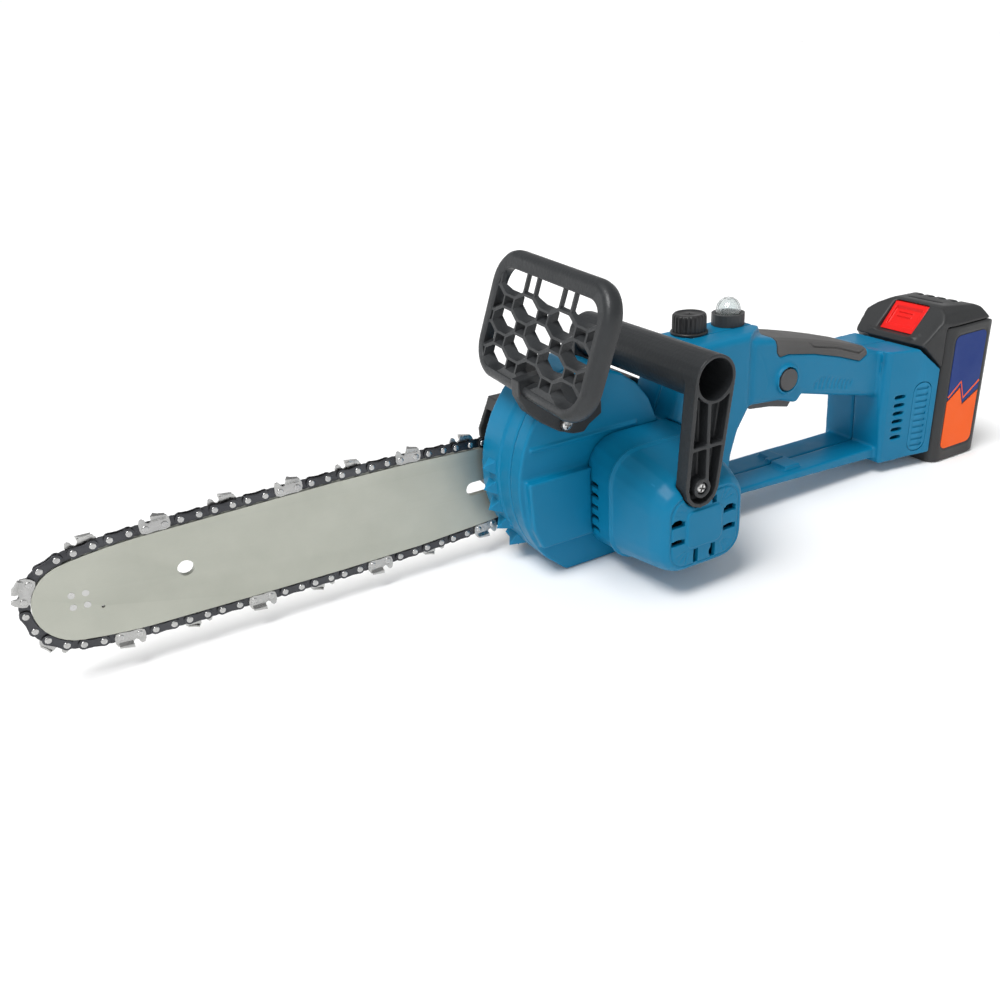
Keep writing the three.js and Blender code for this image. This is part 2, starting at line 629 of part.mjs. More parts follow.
function casingOpenings() {
  const ventSlots = [];
  for (let i = 0; i < 6; i++) {
    const z = 9.5 - i * 6.3;
    ventSlots.push(box(540, 548.5, -90, -55, z - 1.2, z + 1.2));
  }
  return [
    rodY(MOTOR.x, MOTOR.z, 30, -70, -45, 32),
    rodY(DRIVE.x, DRIVE.z, SHAFT_RADIUS + 2, -12, 0),
    rodY(DRIVE.x, DRIVE.z, BEARING.outer + 0.05, -20, -7.7, 24),
    rodY(LOCK.x, LOCK.z, LOCK.radius + 0.5, -70, -50),
    rodY(LOCK.x, LOCK.z, LOCK.radius + 1.8, -54.2, -46),
    rodY(PIVOT.x, PIVOT.y, 2.3, -54, -26, 12),
    rodZ(CAP.x, CAP.y, 10, 60, 95),
    rodZ(PRIMER.x, PRIMER.y, 5, 60, 95),
    box(412.6, 459, HANDLE_MID - TRIGGER_HALF - 0.7, HANDLE_MID + TRIGGER_HALF + 0.7, 5, 44),
    box(RAIL.front - 0.6, 600, RAIL.left - 0.6, RAIL.right + 0.6, RAIL.bottom - 0.6, 80),
    rodX(TENSION.y, TENSION.z, 3.6, 220, 262),
    box(255, 290, -16, 0, TENSION.z - 5.5, TENSION.z + 4.4),
    ...STUD_X.map((x) => rodY(x, 0, STUD_RADIUS + GAP, -22, 0, 16)),
    ...CASING_SCREWS.flatMap(([x, z]) => [
      rodY(x, z, 3.4, -26.3, 10, 12),
      rodY(x, z, 1.8, -58, 0, 8),
    ]),
    rodY(GUARD_SCREW.x, GUARD_SCREW.y, 1.8, -60, -45, 8),
    rodY(RIGHT_LEG.foot.x, RIGHT_LEG.foot.y, 1.8, -20, 0, 8),
    box(549, RAIL.front, -54.4, -25.6, -20.4, 24.4),
    ...ventSlots,
  ];
}
const screwPosts = () => join(...CASING_SCREWS.map(([x, z]) => rodY(x, z, 5, -80, 0, 12)));

function casings() {
  const bosses = join(barPad(), shaftBoss(), ...spikes());
  const outside = join(casingOutside(), rodY(LOCK.x, LOCK.z, 10, -61.5, -52, 24));
  const shell = join(cut(outside, casingInside()), bosses, screwPosts().intersect(outside));
  const open = cut(shell, ...casingOpenings());
  const far = 300;
  const left = box(-far, 900, -far, HANDLE_MID - GAP / 2, -far, far);
  const right = box(-far, 900, HANDLE_MID + GAP / 2, far, -far, far);
  return [open.intersect(left), open.intersect(right)];
}
const [leftCasing, rightCasing] = casings();
add("left_casing", leftCasing, blue);
add("right_casing", rightCasing, blue);
const gripBand = handleSolid(0).subtract(handleSolid(-GRIP_THICKNESS + GAP));
add("grip_overmould", gripBand.intersect(gripRegion(GAP)), rubber);
CASING_SCREWS.forEach(([x, z], i) => {
  const screw = join(rodY(x, z, 3, -26, -23.3, 12), rodY(x, z, 1.4, -55, -25, 8));
  add(`casing_screw_${i + 1}`, screw, darkSteel);
});

add("motor_housing", motorHousing(), blue);

// ---- front handle and hand guard ----------------------------------------------------------------
function frontHandle() {
  const bar = rodY(TUBE.x, TUBE.z, TUBE.radius, TUBE.left, RIGHT_LEG.outer, 28);
  const bore = rodY(TUBE.x, TUBE.z, TUBE.bore, TUBE.left - 1, -20, 28);
  const leg = prismY(legOutline(0), LEG.outer, LEG.inner);
  const channel = cut(
    prismY(legOutline(-2.4), LEG.outer - 1, LEG.inner - 2.4),
    rodY(TUBE.x, TUBE.z, TUBE.radius, -140, -100, 28),
    rodY(LEG.foot.x, LEG.foot.y, 6, -140, -100, 16),
    box(313, 315.4, -140, -100, 25, 80),
    box(280, 340, -140, -100, 46, 48.4),
  );
  const foot = taperedSlot(tubeCentre, TUBE.radius, RIGHT_LEG.foot, RIGHT_LEG.footRadius);
  const rightLeg = prismY(foot, RIGHT_LEG.inner, RIGHT_LEG.outer);
  return cut(
    join(bar, cut(leg, channel), rightLeg),
    bore,
    rodY(LEG.foot.x, LEG.foot.y, 3.8, -130, -118, 16),
    rodY(LEG.foot.x, LEG.foot.y, 1.8, -130, -110, 10),
    rodY(RIGHT_LEG.foot.x, RIGHT_LEG.foot.y, 1.8, -10, 10, 10),
  );
}
add("front_handle", frontHandle(), charcoal);

// A pan-head screw along Y: its shank runs from the head towards +Y or -Y.
function screwY(x, z, headRadius, headY0, headY1, shankTo) {
  const head = rodY(x, z, headRadius, headY0, headY1, 14);
  return head.add(rodY(x, z, 1.5, Math.min(headY0, shankTo), Math.max(headY1, shankTo), 8));
}
add("left_handle_screw", screwY(LEG.foot.x, LEG.foot.y, 3.5, -121, -118.3, -108), steel);
const rightHeadY = RIGHT_LEG.outer + GAP;
const rightScrew = screwY(RIGHT_LEG.foot.x, RIGHT_LEG.foot.y, 4, rightHeadY, rightHeadY + 2.5, -14);
add("right_handle_screw", rightScrew, steel);

// The guard is drawn flat, across Y and up Z with its face at x = 0, then rolled and leaned back.
const GUARD = {
  lean: THREE.MathUtils.degToRad(18.4),
  roll: THREE.MathUtils.degToRad(2.4),
  x: 244.1,
  y: HANDLE_MID,
  z: 111.4,
  depth: 12,
};
// Its lattice is rows of long eight-sided cells, each row half a pitch along from the next, with a
// small square hole between every two cells of a row. The cells' walls rise towards the back.
const CELL = {
  depth: 6,
  rise: 0.587,
  pitch: 38.97,
  rowPitch: 11.25,
  y: 0.5,
  z: 10.5,
  half: 13,
  halfHeight: 6.8,
  halfTop: 5,
  halfSide: 2.7,
  gapHalf: 4.9,
  gapHalfHeight: 3,
};

function lattice(opening) {
  const { half, halfHeight, halfTop, halfSide, gapHalf, gapHalfHeight } = CELL;
  const cell = [
    [half, -halfSide],
    [half, halfSide],
    [halfTop, halfHeight],
    [-halfTop, halfHeight],
    [-half, halfSide],
    [-half, -halfSide],
    [-halfTop, -halfHeight],
    [halfTop, -halfHeight],
  ];
  const holes = [];
  for (let row = -1; row <= 3; row++) {
    const z = CELL.z - row * CELL.rowPitch;
    for (let column = -2; column <= 1; column++) {
      const y = CELL.y + (column + (row % 2 ? 0.5 : 0)) * CELL.pitch;
      const middle = y + CELL.pitch / 2;
      holes.push(prismX(outlineOf(cell.map(([cy, cz]) => [y + cy, z + cz])), -5, 20));
      holes.push(box(-5, 20, middle - gapHalf, middle + gapHalf, z - gapHalfHeight, z + gapHalfHeight));
    }
  }
  const rising = new THREE.Matrix4().makeShear(0, CELL.rise, 0, 0, 0, 0);
  const cells = holes.map((hole) => hole.transform(rising.elements));
  return cut(prismX(opening, 1.2, 1.2 + CELL.depth), ...cells);
}

function handGuard() {
  const outer = roundedRectangle(-79, -36.5, 43.5, 40, 22);
  const opening = roundedRectangle(-73, -31, 38, 27, 16);
  const frame = prismX(outer, 0, GUARD.depth).subtract(prismX(opening, -1, GUARD.depth + 1));
  const flat = join(frame, lattice(inset(opening, -0.5)));
  const leaned = flat.transform(
    new THREE.Matrix4()
      .makeTranslation(GUARD.x, GUARD.y, GUARD.z)
      .multiply(new THREE.Matrix4().makeRotationY(GUARD.lean))
      .multiply(new THREE.Matrix4().makeRotationX(GUARD.roll)).elements,
  );
  const bracket = outlineOf([
    [231, 86],
    [231, 76],
    [236, 66],
    [246, 57],
    [258, 49],
    [268, 45.3],
    [275, 45],
    [279, 49],
    [288, 54],
    [288, 62],
    [270, 80],
    [250, 88],
  ]);
  const caseSpace = prismY(inset(gearCaseOutline(), -GAP), CASE_LEFT - GAP, 20);
  return cut(join(leaned, prismY(bracket, -58, -13)), caseSpace, rodY(GUARD_SCREW.x, GUARD_SCREW.y, 1.8, -80, -30, 8));
}
add("hand_guard", handGuard(), charcoal);
add("guard_screw", screwY(GUARD_SCREW.x, GUARD_SCREW.y, 3.6, -60.8, -58.3, -48), steel);

// ---- bar clamp: studs, nuts, cover and tensioner ------------------------------------------------
const COVER = { inner: 20.5, outer: 23.5, rim: CASE_RIGHT + GAP };
const coverOutline = outlineOf([
  [244, 30],
  [253, 50.5],
  [350, 50.5],
  [366, 42],
  [373, 24],
  [373, -22],
  [364, -40],
  [350, -46.5],
  [270, -46.5],
  [256, -41],
  [247, -28],
]);
function sprocketCover() {
  const skin = prismY(coverOutline, COVER.rim, COVER.outer);
  const inside = prismY(inset(coverOutline, WALL), COVER.rim - 1, COVER.inner);
  const mouth = box(230, 262, COVER.rim - 1, COVER.inner, -38, 43);
  const clampPad = prismY(roundedRectangle(241, -12, 298, 12, 8), BAR_HALF + GAP, COVER.outer);
  const studHoles = STUD_X.map((x) => rodY(x, 0, STUD_RADIUS + GAP, -9, 40, 16));
  const shell = cut(skin, inside, mouth);
  return cut(join(shell, clampPad), ...studHoles);
}
add("sprocket_cover", sprocketCover(), black);
STUD_X.forEach((x, i) => {
  add(`bar_stud_${i + 1}`, rodY(x, 0, STUD_RADIUS, -21, 31, 16), steel);
  const nut = rodY(x, 0, 7.5, COVER.outer + GAP, 30, 6);
  add(`bar_nut_${i + 1}`, nut.subtract(rodY(x, 0, STUD_RADIUS + 0.16, 0, 40, 16)), steel);
});

const blockZ = TENSION.z;
const tensionBlock = join(
  box(264, 280, -12.5, -4.5, blockZ - 4.5, blockZ + 3.6),
  rodY(272, blockZ, 2.6, -6, 1.5, 12),
);
add("tension_block", cut(tensionBlock, rodX(TENSION.y, blockZ, 2.3, 250, 300, 12)), steel);
const screwHead = rodX(TENSION.y, blockZ, 3.2, 234.6, 238, 16);
const slotCut = box(233, 235.6, -20, 0, blockZ - 0.5, blockZ + 0.5);
const tensionScrew = join(cut(screwHead, slotCut), rodX(TENSION.y, blockZ, 1.95, 237, 286, 12));
add("tension_screw", tensionScrew, steel);

// ---- oil system ---------------------------------------------------------------------------------
const NECK = { outer: 9.6, bore: 7, top: 89 };
function oilTank() {
  const outside = roundedRectangle(364, -54, 404, -19, 5);
  const body = prismZ(outside, 40, 77.2);
  const hollow = prismZ(inset(outside, 2), 42, 75);
  const neck = rodZ(CAP.x, CAP.y, NECK.outer, 76, NECK.top);
  return cut(
    join(body, neck),
    hollow,
    rodZ(CAP.x, CAP.y, NECK.bore, 70, 95),
    rodZ(397, PRIMER.y, 1.9, 70, 95, 8),
  );
}
add("oil_tank", oilTank(), white);
const capSkirt = [];
for (let i = 0; i < 18; i++) {
  const angle = (i * Math.PI) / 9;
  const rib = new THREE.CylinderGeometry(0.9, 0.9, 9.5, 5).rotateX(Math.PI / 2);
  rib.translate(CAP.x + 11 * Math.cos(angle), CAP.y + 11 * Math.sin(angle), 87.5);
  capSkirt.push(solid(rib));
}
const oilCap = cut(
  join(rodZ(CAP.x, CAP.y, 11.2, DECK_Z + GAP, 94.5, 28), ...capSkirt),
  rodZ(CAP.x, CAP.y, 10.1, 70, 91, 24),
);
add("oil_cap", oilCap, black);
const seal = rodZ(CAP.x, CAP.y, 9.5, NECK.top + GAP, 90.7);
add("oil_cap_seal", seal.subtract(rodZ(CAP.x, CAP.y, 7.5, 80, 95)), rubber);

// The primer: a clear dome in a threaded collar that stands on the deck.
const collar = cut(
  join(
    rodZ(PRIMER.x, PRIMER.y, 11, DECK_Z + GAP, 89, 24),
    rodZ(PRIMER.x, PRIMER.y, 4.7, 74, DECK_Z + 1, 16),
  ),
  rodZ(PRIMER.x, PRIMER.y, 8.6, 82.6, 95, 24),
  rodZ(PRIMER.x, PRIMER.y, 2.3, 70, 95, 12),
);
add("primer_collar", collar, black);
function domeProfile(radius, top, foot) {
  const profile = [point(0, top)];
  for (let i = 1; i <= 4; i++) {
    const angle = (i * Math.PI) / 8;
    profile.push(point(radius * Math.sin(angle), top - radius + radius * Math.cos(angle)));
  }
  profile.push(point(radius, foot), point(0, foot));
  return solid(new THREE.LatheGeometry(profile, 18).rotateX(Math.PI / 2));
}
const dome = domeProfile(8.3, 99.5, 86.6).subtract(domeProfile(7.4, 98.6, 80));
add("primer_bulb", dome.translate([PRIMER.x, PRIMER.y, 0]), clear);
const pickup = [[397, -30, 77], [397, -30, 66], [394, -33, 52], [390, -37, 44.5]];
add("oil_pickup_hose", tube(pickup, 1.6, 9), rubber);
const delivery = [
  [410, -30, 73],
  [409, -29, 50],
  [409, -28, 38],
  [400, -27, 32.5],
  [372, -26, 24],
  [350, -20, 21.5],
  [325, -13.5, 28],
  [300, -13, 22],
  [286, -12, 17],
];
add("oil_delivery_hose", tube(delivery, 1.6, 20), rubber);

// ---- trigger, lock-off button, switch and wiring ------------------------------------------------
const triggerOutline = outlineOf([
  [413.5, 27],
  [417.3, 23.6],
  [435, 21.5],
  [452.5, 17.4],
  [455.6, 21.8],
  [453.5, 29],
  [443.5, 29],
  [439.5, 36],
  [425, 42.5],
  [414, 38],
]);
const triggerBody = prismY(triggerOutline, HANDLE_MID - TRIGGER_HALF, HANDLE_MID + TRIGGER_HALF);
add("trigger", cut(triggerBody, rodY(PIVOT.x, PIVOT.y, 2.3, -60, -20, 12)), rubber);
add("trigger_pin", rodY(PIVOT.x, PIVOT.y, 2, -53.7, -26.3, 12), steel);
add("trigger_switch", box(442, 472, -46, -29, 39.5, 57), black);
function standingCoil(radius, wire, length, turns, matrix) {
  return solid(coil(radius, wire, length, turns).applyMatrix4(matrix));
}
const move = (x, y, z) => new THREE.Matrix4().makeTranslation(x, y, z);
const triggerSpring = standingCoil(3, 0.5, 9.8, 3, move(448.5, HANDLE_MID, 29.4));
add("trigger_spring", triggerSpring, steel);
const lockButton = join(
  rodY(LOCK.x, LOCK.z, LOCK.radius, -63, -54.4, 28),
  rodY(LOCK.x, LOCK.z, LOCK.radius + 1.5, -53.9, -52.6, 28),
  rodY(LOCK.x, LOCK.z, LOCK.radius - 1, -55, -52.6, 20),
);
add("lock_off_button", lockButton, rubber);
const turnToY = new THREE.Matrix4().makeRotationX(-Math.PI / 2);
const lockMatrix = move(LOCK.x, -52.3, LOCK.z + 4).multiply(turnToY);
add("lock_spring", standingCoil(2.6, 0.4, 5, 3, lockMatrix), steel);
add("controller_board", box(356, 386, -46, -24, -30, -26), green);
const motorLead = [[441, -34, 50], [427, -34, 52], [412, -34, 42], [399, -34, 31], [387, -34, 10], [380, -36, -24]];
add("motor_lead", tube(motorLead, 1.8, 14), red);
const batteryLead = [
  [473, -40, 50],
  [487, -40, 49],
  [500, -40, 45.5],
  [513, -40, 38],
  [526, -40, 30],
  [538, -40, 22],
  [548, -40, 12],
];
add("battery_lead", tube(batteryLead, 1.8, 15), red);
add("terminal_block", box(549.5, 558.8, -54, -26, -20, 24), black);

// ---- battery ------------------------------------------------------------------------------------
function batteryCase() {
  const { front, rear, left, right, top } = BATTERY;
  const plan = roundedRectangle(front, left, rear, right, 9);
  const side = roundedRectangle(front - 20, FLOOR_Z, rear, top, 8);
  const outside = prismZ(plan, FLOOR_Z, top).intersect(prismY(side, left, right));
  const inside = box(front + 3, rear - 2.5, left + 2.5, right - 2.5, FLOOR_Z + 2.5, top - 2.5);
  return cut(outside, inside, box(front - 5, front + 5, -56, -24, -28, 40));
}
add("battery_case", batteryCase(), black);

const LATCH = { left: -54.7, right: -25.3 };
const latchOutline = outlineOf([
  [566.3, 49.4],
  [581, 67],
  [590, 67],
  [590, 56.8],
  [573, 56.8],
  [573, 49.4],
]);
const latchPocket = outlineOf([
  [560, 48.9],
  [562, 68],
  [570, 75],
  [576, 67.6],
  [596, 67.6],
  [596, 55],
  [577.7, 55],
  [577.7, 48.9],
]);
function batteryCover() {
  const head = outlineOf([
    [558, 45],
    [561, 43.9],
    [BATTERY.front, 26.4],
    [BATTERY.front, BATTERY.top + GAP],
    [BATTERY.rear - 2, BATTERY.top + GAP],
    [BATTERY.rear - 5, 61],
    [BATTERY.rear - 15, 66.5],
    [586, 69],
    [581, 68.3],
  ]);
  const plan = outlineOf([
    [550, -66],
    [562, -72],
    [585, -76.5],
    [BATTERY.rear, -76.5],
    [BATTERY.rear, -3.5],
    [585, -3.5],
    [562, -8],
    [550, -14],
  ]);
  const crown = outlineOf([
    [-77, 20],
    [-77, 57],
    [-71, 65],
    [-60, 71],
    [-24, 71],
    [-11, 64],
    [-3, 56.6],
    [-3, 20],
  ]);
  const top = prismY(head, -90, 10).intersect(prismZ(plan, 0, 90)).intersect(prismX(crown, 540, 640));
  const rail = box(RAIL.front, BATTERY.front - GAP, RAIL.left, RAIL.right, RAIL.bottom, 50);
  const pocket = prismY(latchPocket, LATCH.left - 0.4, LATCH.right + 0.4);
  const railHollow = box(RAIL.front + 2.5, 590, RAIL.left + 2.5, RAIL.right - 2.5, RAIL.bottom + 2.5, 40);
  return cut(join(top, rail), railHollow, pocket);
}
add("battery_cover", batteryCover(), charcoal);
add("battery_latch", prismY(latchOutline, LATCH.left, LATCH.right), red);
const turnToX = new THREE.Matrix4().makeRotationY(Math.PI / 2);
add("latch_spring", standingCoil(3, 0.45, 5.3, 3, move(590.3, HANDLE_MID, 61.8).multiply(turnToX)), steel);

// Ten round cells lying across the case, two deep and five high.
function cells() {
  const made = [];
  for (let column = 0; column < 2; column++)
    for (let row = 0; row < 5; row++)
      made.push(rodY(592 + column * 18.6, -34 + row * 18.6, 9.4, -73, -7, 8));
  return join(...made);
}
add("battery_cells", cells(), copper);

// ---- origin: the centre of the footprint --------------------------------------------------------
const extent = new THREE.Box3().setFromObject(saw);
const centre = extent.getCenter(new THREE.Vector3());
saw.position.set(-centre.x, -centre.y, -extent.min.z);
const chainsaw = new THREE.Group();
chainsaw.add(saw);

export default chainsaw;
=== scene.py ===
# A cordless chainsaw dressed for rendering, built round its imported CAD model.
import json
import math

import bmesh
import bpy
from mathutils import Euler, Matrix, Vector


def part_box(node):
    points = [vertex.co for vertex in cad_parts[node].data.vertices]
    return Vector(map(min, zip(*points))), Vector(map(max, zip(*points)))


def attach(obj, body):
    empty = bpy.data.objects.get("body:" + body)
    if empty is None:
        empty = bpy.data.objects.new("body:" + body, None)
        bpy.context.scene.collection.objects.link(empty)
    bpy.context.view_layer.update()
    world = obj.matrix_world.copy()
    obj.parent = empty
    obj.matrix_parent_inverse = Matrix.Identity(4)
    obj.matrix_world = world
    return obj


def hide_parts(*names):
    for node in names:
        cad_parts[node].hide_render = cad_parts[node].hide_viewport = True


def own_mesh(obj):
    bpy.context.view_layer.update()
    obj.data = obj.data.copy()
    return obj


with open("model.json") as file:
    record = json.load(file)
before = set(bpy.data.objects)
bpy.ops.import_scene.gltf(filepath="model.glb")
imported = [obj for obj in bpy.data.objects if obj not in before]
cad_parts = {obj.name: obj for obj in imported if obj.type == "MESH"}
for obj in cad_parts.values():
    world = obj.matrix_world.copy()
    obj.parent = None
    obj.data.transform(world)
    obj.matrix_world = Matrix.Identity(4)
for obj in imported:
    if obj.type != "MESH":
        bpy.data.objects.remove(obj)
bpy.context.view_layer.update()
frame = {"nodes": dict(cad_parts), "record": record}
NODES = frame["nodes"]
MM = 0.001

# The CAD is drawn round the guide bar: x = 0 is 17 mm behind the nose wheel, y = 0 the bar's middle
# plane, z = 0 its centre line. The output shaft's box says where that origin is in this frame.
SHAFT_X, SHAFT_RIGHT_Y = 330, 9
shaft_low, shaft_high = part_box("output_shaft")
BAR_ORIGIN = Vector(
    (
        (shaft_low.x + shaft_high.x) / 2 - SHAFT_X * MM,
        shaft_high.y - SHAFT_RIGHT_Y * MM,
        (shaft_low.z + shaft_high.z) / 2,
    )
)

# Centres on the saw's side, as x and z in the bar's millimetres.
GEAR_CASE = (311, 13)
LOCK_BUTTON = (437, 44.4)
GUARD_SCREW = (262.4, 53)
LEG_SCREW = (311, 22)
NOSE_RIVETS = (-17.1, 0.5)
BAR_OIL_HOLE = (-6.5, -7.1)


def at(x, y, z):
    """A point given in the bar's millimetres, in the frame's metres."""
    return BAR_ORIGIN + Vector((x, y, z)) * MM


# ---- meshes -------------------------------------------------------------------------------------
def new_object(name, mesh):
    obj = bpy.data.objects.new(name, mesh)
    bpy.context.scene.collection.objects.link(obj)
    return obj


def from_bmesh(bm, name="tool"):
    bmesh.ops.recalc_face_normals(bm, faces=bm.faces)
    mesh = bpy.data.meshes.new(name)
    bm.to_mesh(mesh)
    bm.free()
    return new_object(name, mesh)


def skin(bm, rings, looped=False):
    """Faces from each ring of vertices to the next, with a cap on both ends unless it is looped."""
    if not looped:
        bm.faces.new(rings[0])
        bm.faces.new(rings[-1][::-1])
    following = rings[1:] + rings[:1] if looped else rings[1:]
    for one, two in zip(rings, following):
        for i in range(len(one)):
            j = (i + 1) % len(one)
            bm.faces.new([one[i], one[j], two[j], two[i]])


AXIS_PLACES = {"x": (1, 2, 0), "y": (0, 2, 1), "z": (0, 1, 2)}


def placed(axis, a, b, along):
    """A point from its two coordinates across an axis and its place along that axis."""
    values = [0, 0, 0]
    for place, value in zip(AXIS_PLACES[axis], (a, b, along)):
        values[place] = value
    return at(*values)


def prism(outline, low, high, axis="y"):
    """A closed prism of an outline, run along an axis."""
    bm = bmesh.new()
    ends = [[bm.verts.new(placed(axis, a, b, along)) for a, b in outline] for along in (low, high)]
    skin(bm, ends)
    return from_bmesh(bm)


def box(x0, x1, y0, y1, z0, z1):
    return prism([(x0, z0), (x1, z0), (x1, z1), (x0, z1)], y0, y1)


def circle(a, b, radius, sides):
    step = 2 * math.pi / sides
    return [(a + radius * math.cos(i * step), b + radius * math.sin(i * step)) for i in range(sides)]


def rod(a, b, radius, low, high, sides=32):
    """A round bar across the saw."""
    return prism(circle(a, b, radius, sides), low, high)


def arc(a, b, radius, first, last, steps):
    """Points on a circle from one angle to another, in degrees."""
    angles = [math.radians(first + (last - first) * i / steps) for i in range(steps + 1)]
    return [(a + radius * math.cos(angle), b + radius * math.sin(angle)) for angle in angles]


def rounded(a0, b0, a1, b1, radius, steps=6):
    """A rounded rectangle's outline, anticlockwise from its lower right corner."""
    centres = [
        (a1 - radius, b0 + radius, -90),
        (a1 - radius, b1 - radius, 0),
        (a0 + radius, b1 - radius, 90),
        (a0 + radius, b0 + radius, 180),
    ]
    outline = []
    for a, b, start in centres:
        outline += arc(a, b, radius, start, start + 90, steps)
    return outline


def round_loop(points, radius, sides=10):
    """A round bar that follows a closed loop of points, given in the bar's millimetres."""
    bm = bmesh.new()
    path = [Vector(p) for p in points]
    rings = []
    side = None
    for i, p in enumerate(path):
        along = (path[(i + 1) % len(path)] - path[i - 1]).normalized()
        if side is None:
            side = along.orthogonal().normalized()
        side = (side - along * side.dot(along)).normalized()
        other = along.cross(side)
        ring = []
        for k in range(sides):
            angle = 2 * math.pi * k / sides
            out = side * math.cos(angle) + other * math.sin(angle)
            ring.append(bm.verts.new(at(*(p + out * radius))))
        rings.append(ring)
    skin(bm, rings, looped=True)
    return from_bmesh(bm)


def line_prism(points, width, low, high):
    """A thin wall along an open line, run across the saw: for grooves and low ribs."""
    left, right = [], []
    for i, p in enumerate(points):
        before = Vector(points[max(i - 1, 0)])
        after = Vector(points[min(i + 1, len(points) - 1)])
        along = (after - before).normalized()
        side = Vector((-along.y, along.x)) * width / 2
        left.append(tuple(Vector(p) + side))
        right.append(tuple(Vector(p) - side))
    return prism(left + right[::-1], low, high)


def copy_of(node):
    """A CAD node's mesh as a solid of its own, its corners welded."""
    bm = bmesh.new()
    bm.from_mesh(NODES[node].data)
    bmesh.ops.remove_doubles(bm, verts=bm.verts, dist=0.002 * MM)
    return from_bmesh(bm)


def apply_modifiers(obj):
    graph = bpy.context.evaluated_depsgraph_get()
    mesh = bpy.data.meshes.new_from_object(obj.evaluated_get(graph))
    obj.modifiers.clear()
    obj.data = mesh
    return obj


def combine(target, tools, operation):
    """Adds or cuts solids, one after another, and uses them up."""
    for tool in tools:
        modifier = target.modifiers.new("combine", "BOOLEAN")
        modifier.operation = operation
        modifier.solver = "MANIFOLD"
        modifier.object = tool
        apply_modifiers(target)
        bpy.data.objects.remove(tool)
    return target


def join(tools):
    """Several objects as one mesh, without any boolean."""
    bm = bmesh.new()
    for tool in tools:
        bm.from_mesh(tool.data)
        bpy.data.objects.remove(tool)
    mesh = bpy.data.meshes.new("joined")
    bm.to_mesh(mesh)
    bm.free()
    return new_object("tool", mesh)


def raised_band(outline, low, high, width):
    """A closed band of some width inside an outline, run across the saw."""
    centre = Vector((sum(a for a, _ in outline), sum(b for _, b in outline))) / len(outline)
    inner = []
    for a, b in outline:
        arm = Vector((a, b)) - centre
        inner.append(tuple(centre + arm * (1 - width / arm.length)))
    return combine(prism(outline, low, high), [prism(inner, low - 1, high + 1)], "DIFFERENCE")


def turned_about(obj, centre, axis, degrees):
    pivot = at(*centre)
    turn = Matrix.Rotation(math.radians(degrees), 4, axis)
    obj.data.transform(Matrix.Translation(pivot) @ turn @ Matrix.Translation(-pivot))
    return obj


def remeshed(obj, voxel, passes):
    """One even skin over the object, its edges rounded as a moulding's are."""
    remesh = obj.modifiers.new("skin", "REMESH")
    remesh.mode = "VOXEL"
    remesh.voxel_size = voxel * MM
    remesh.use_smooth_shade = True
    smooth = obj.modifiers.new("soften", "SMOOTH")
    smooth.factor = 0.5
    smooth.iterations = passes
    return apply_modifiers(obj)


def smooth_shaded(obj):
    obj.data.polygons.foreach_set("use_smooth", [True] * len(obj.data.polygons))
    obj.data.update()
    return obj


def bevelled(obj, width, segments=3, angle=28):
    """Rounds an object's edges with modifiers that leave its own mesh as it is."""
    flat = obj.modifiers.new("merge flats", "DECIMATE")
    flat.decimate_type = "DISSOLVE"
    flat.angle_limit = math.radians(1.5)
    bevel = obj.modifiers.new("round edges", "BEVEL")
    bevel.width = width * MM
    bevel.segments = segments
    bevel.limit_method = "ANGLE"
    bevel.angle_limit = math.radians(angle)
    bevel.use_clamp_overlap = True
    bevel.harden_normals = True
    normals = obj.modifiers.new("even normals", "WEIGHTED_NORMAL")
    normals.keep_sharp = True
    return smooth_shaded(obj)


def piece(obj, name, finish, body):
    """Names a finished object and ties it to its body, finish and material slot."""
    obj.name = name
    obj.data.name = name
    obj.data.materials.clear()
    obj.data.materials.append(finish)
    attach(obj, body)
    return obj


SHARP_EDGE = math.radians(50)


def moulding(node, name, finish, body, fine, soft=None, remove=(), add=(), crisp=(), late=()):
    """A CAD part with its fine ribs and grooves, skinned over and rounded as a moulding.

    soft is the voxel and the passes of a first, broad rounding, done before the fine detail.
    fine is the voxel and the passes of the skin over the detail, and the share of faces kept.
    crisp holds narrow openings, and late holds pointed details: they come last and stay sharp.
    """
    voxel, passes, keep = fine
    shape = copy_of(node)
    if soft:
        remeshed(shape, *soft)
    combine(shape, remove, "DIFFERENCE")
    combine(shape, add, "UNION")
    remeshed(shape, voxel, passes)
    thin = shape.modifiers.new("thin out", "DECIMATE")
    thin.ratio = keep
    apply_modifiers(shape)
    combine(shape, crisp, "DIFFERENCE")
    combine(shape, late, "UNION")
    smooth_shaded(shape)
    if crisp or late:
        shape.data.set_sharp_from_angle(angle=SHARP_EDGE)
    piece(shape, name, finish, body)
    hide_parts(node)


# ---- materials ----------------------------------------------------------------------------------
def principled(made):
    return made.node_tree.nodes["Principled BSDF"]


def material(name, **surface):
    made = bpy.data.materials.new(name)
    made.use_nodes = True
    for socket, value in surface.items():
        principled(made).inputs[socket.replace("_", " ")].default_value = value
    return made


def add_node(made, kind, **settings):
    node = made.node_tree.nodes.new(kind)
    for key, value in settings.items():
        if key in node.inputs:
            node.inputs[key].default_value = value
        else:
            setattr(node, key, value)
    return node


def link(made, source, target):
    made.node_tree.links.new(source, target)


def coordinates(made, stretch=(1, 1, 1)):
    """Object coordinates, scaled by different amounts along each axis."""
    source = add_node(made, "ShaderNodeTexCoord")
    mapping = add_node(made, "ShaderNodeMapping", Scale=stretch)
    link(made, source.outputs["Object"], mapping.inputs["Vector"])
    return mapping.outputs["Vector"]


def noise(made, vector, scale, detail):
    node = add_node(made, "ShaderNodeTexNoise", Scale=scale, Detail=detail, Roughness=0.55)
    link(made, vector, node.inputs["Vector"])
    return node.outputs["Fac"]


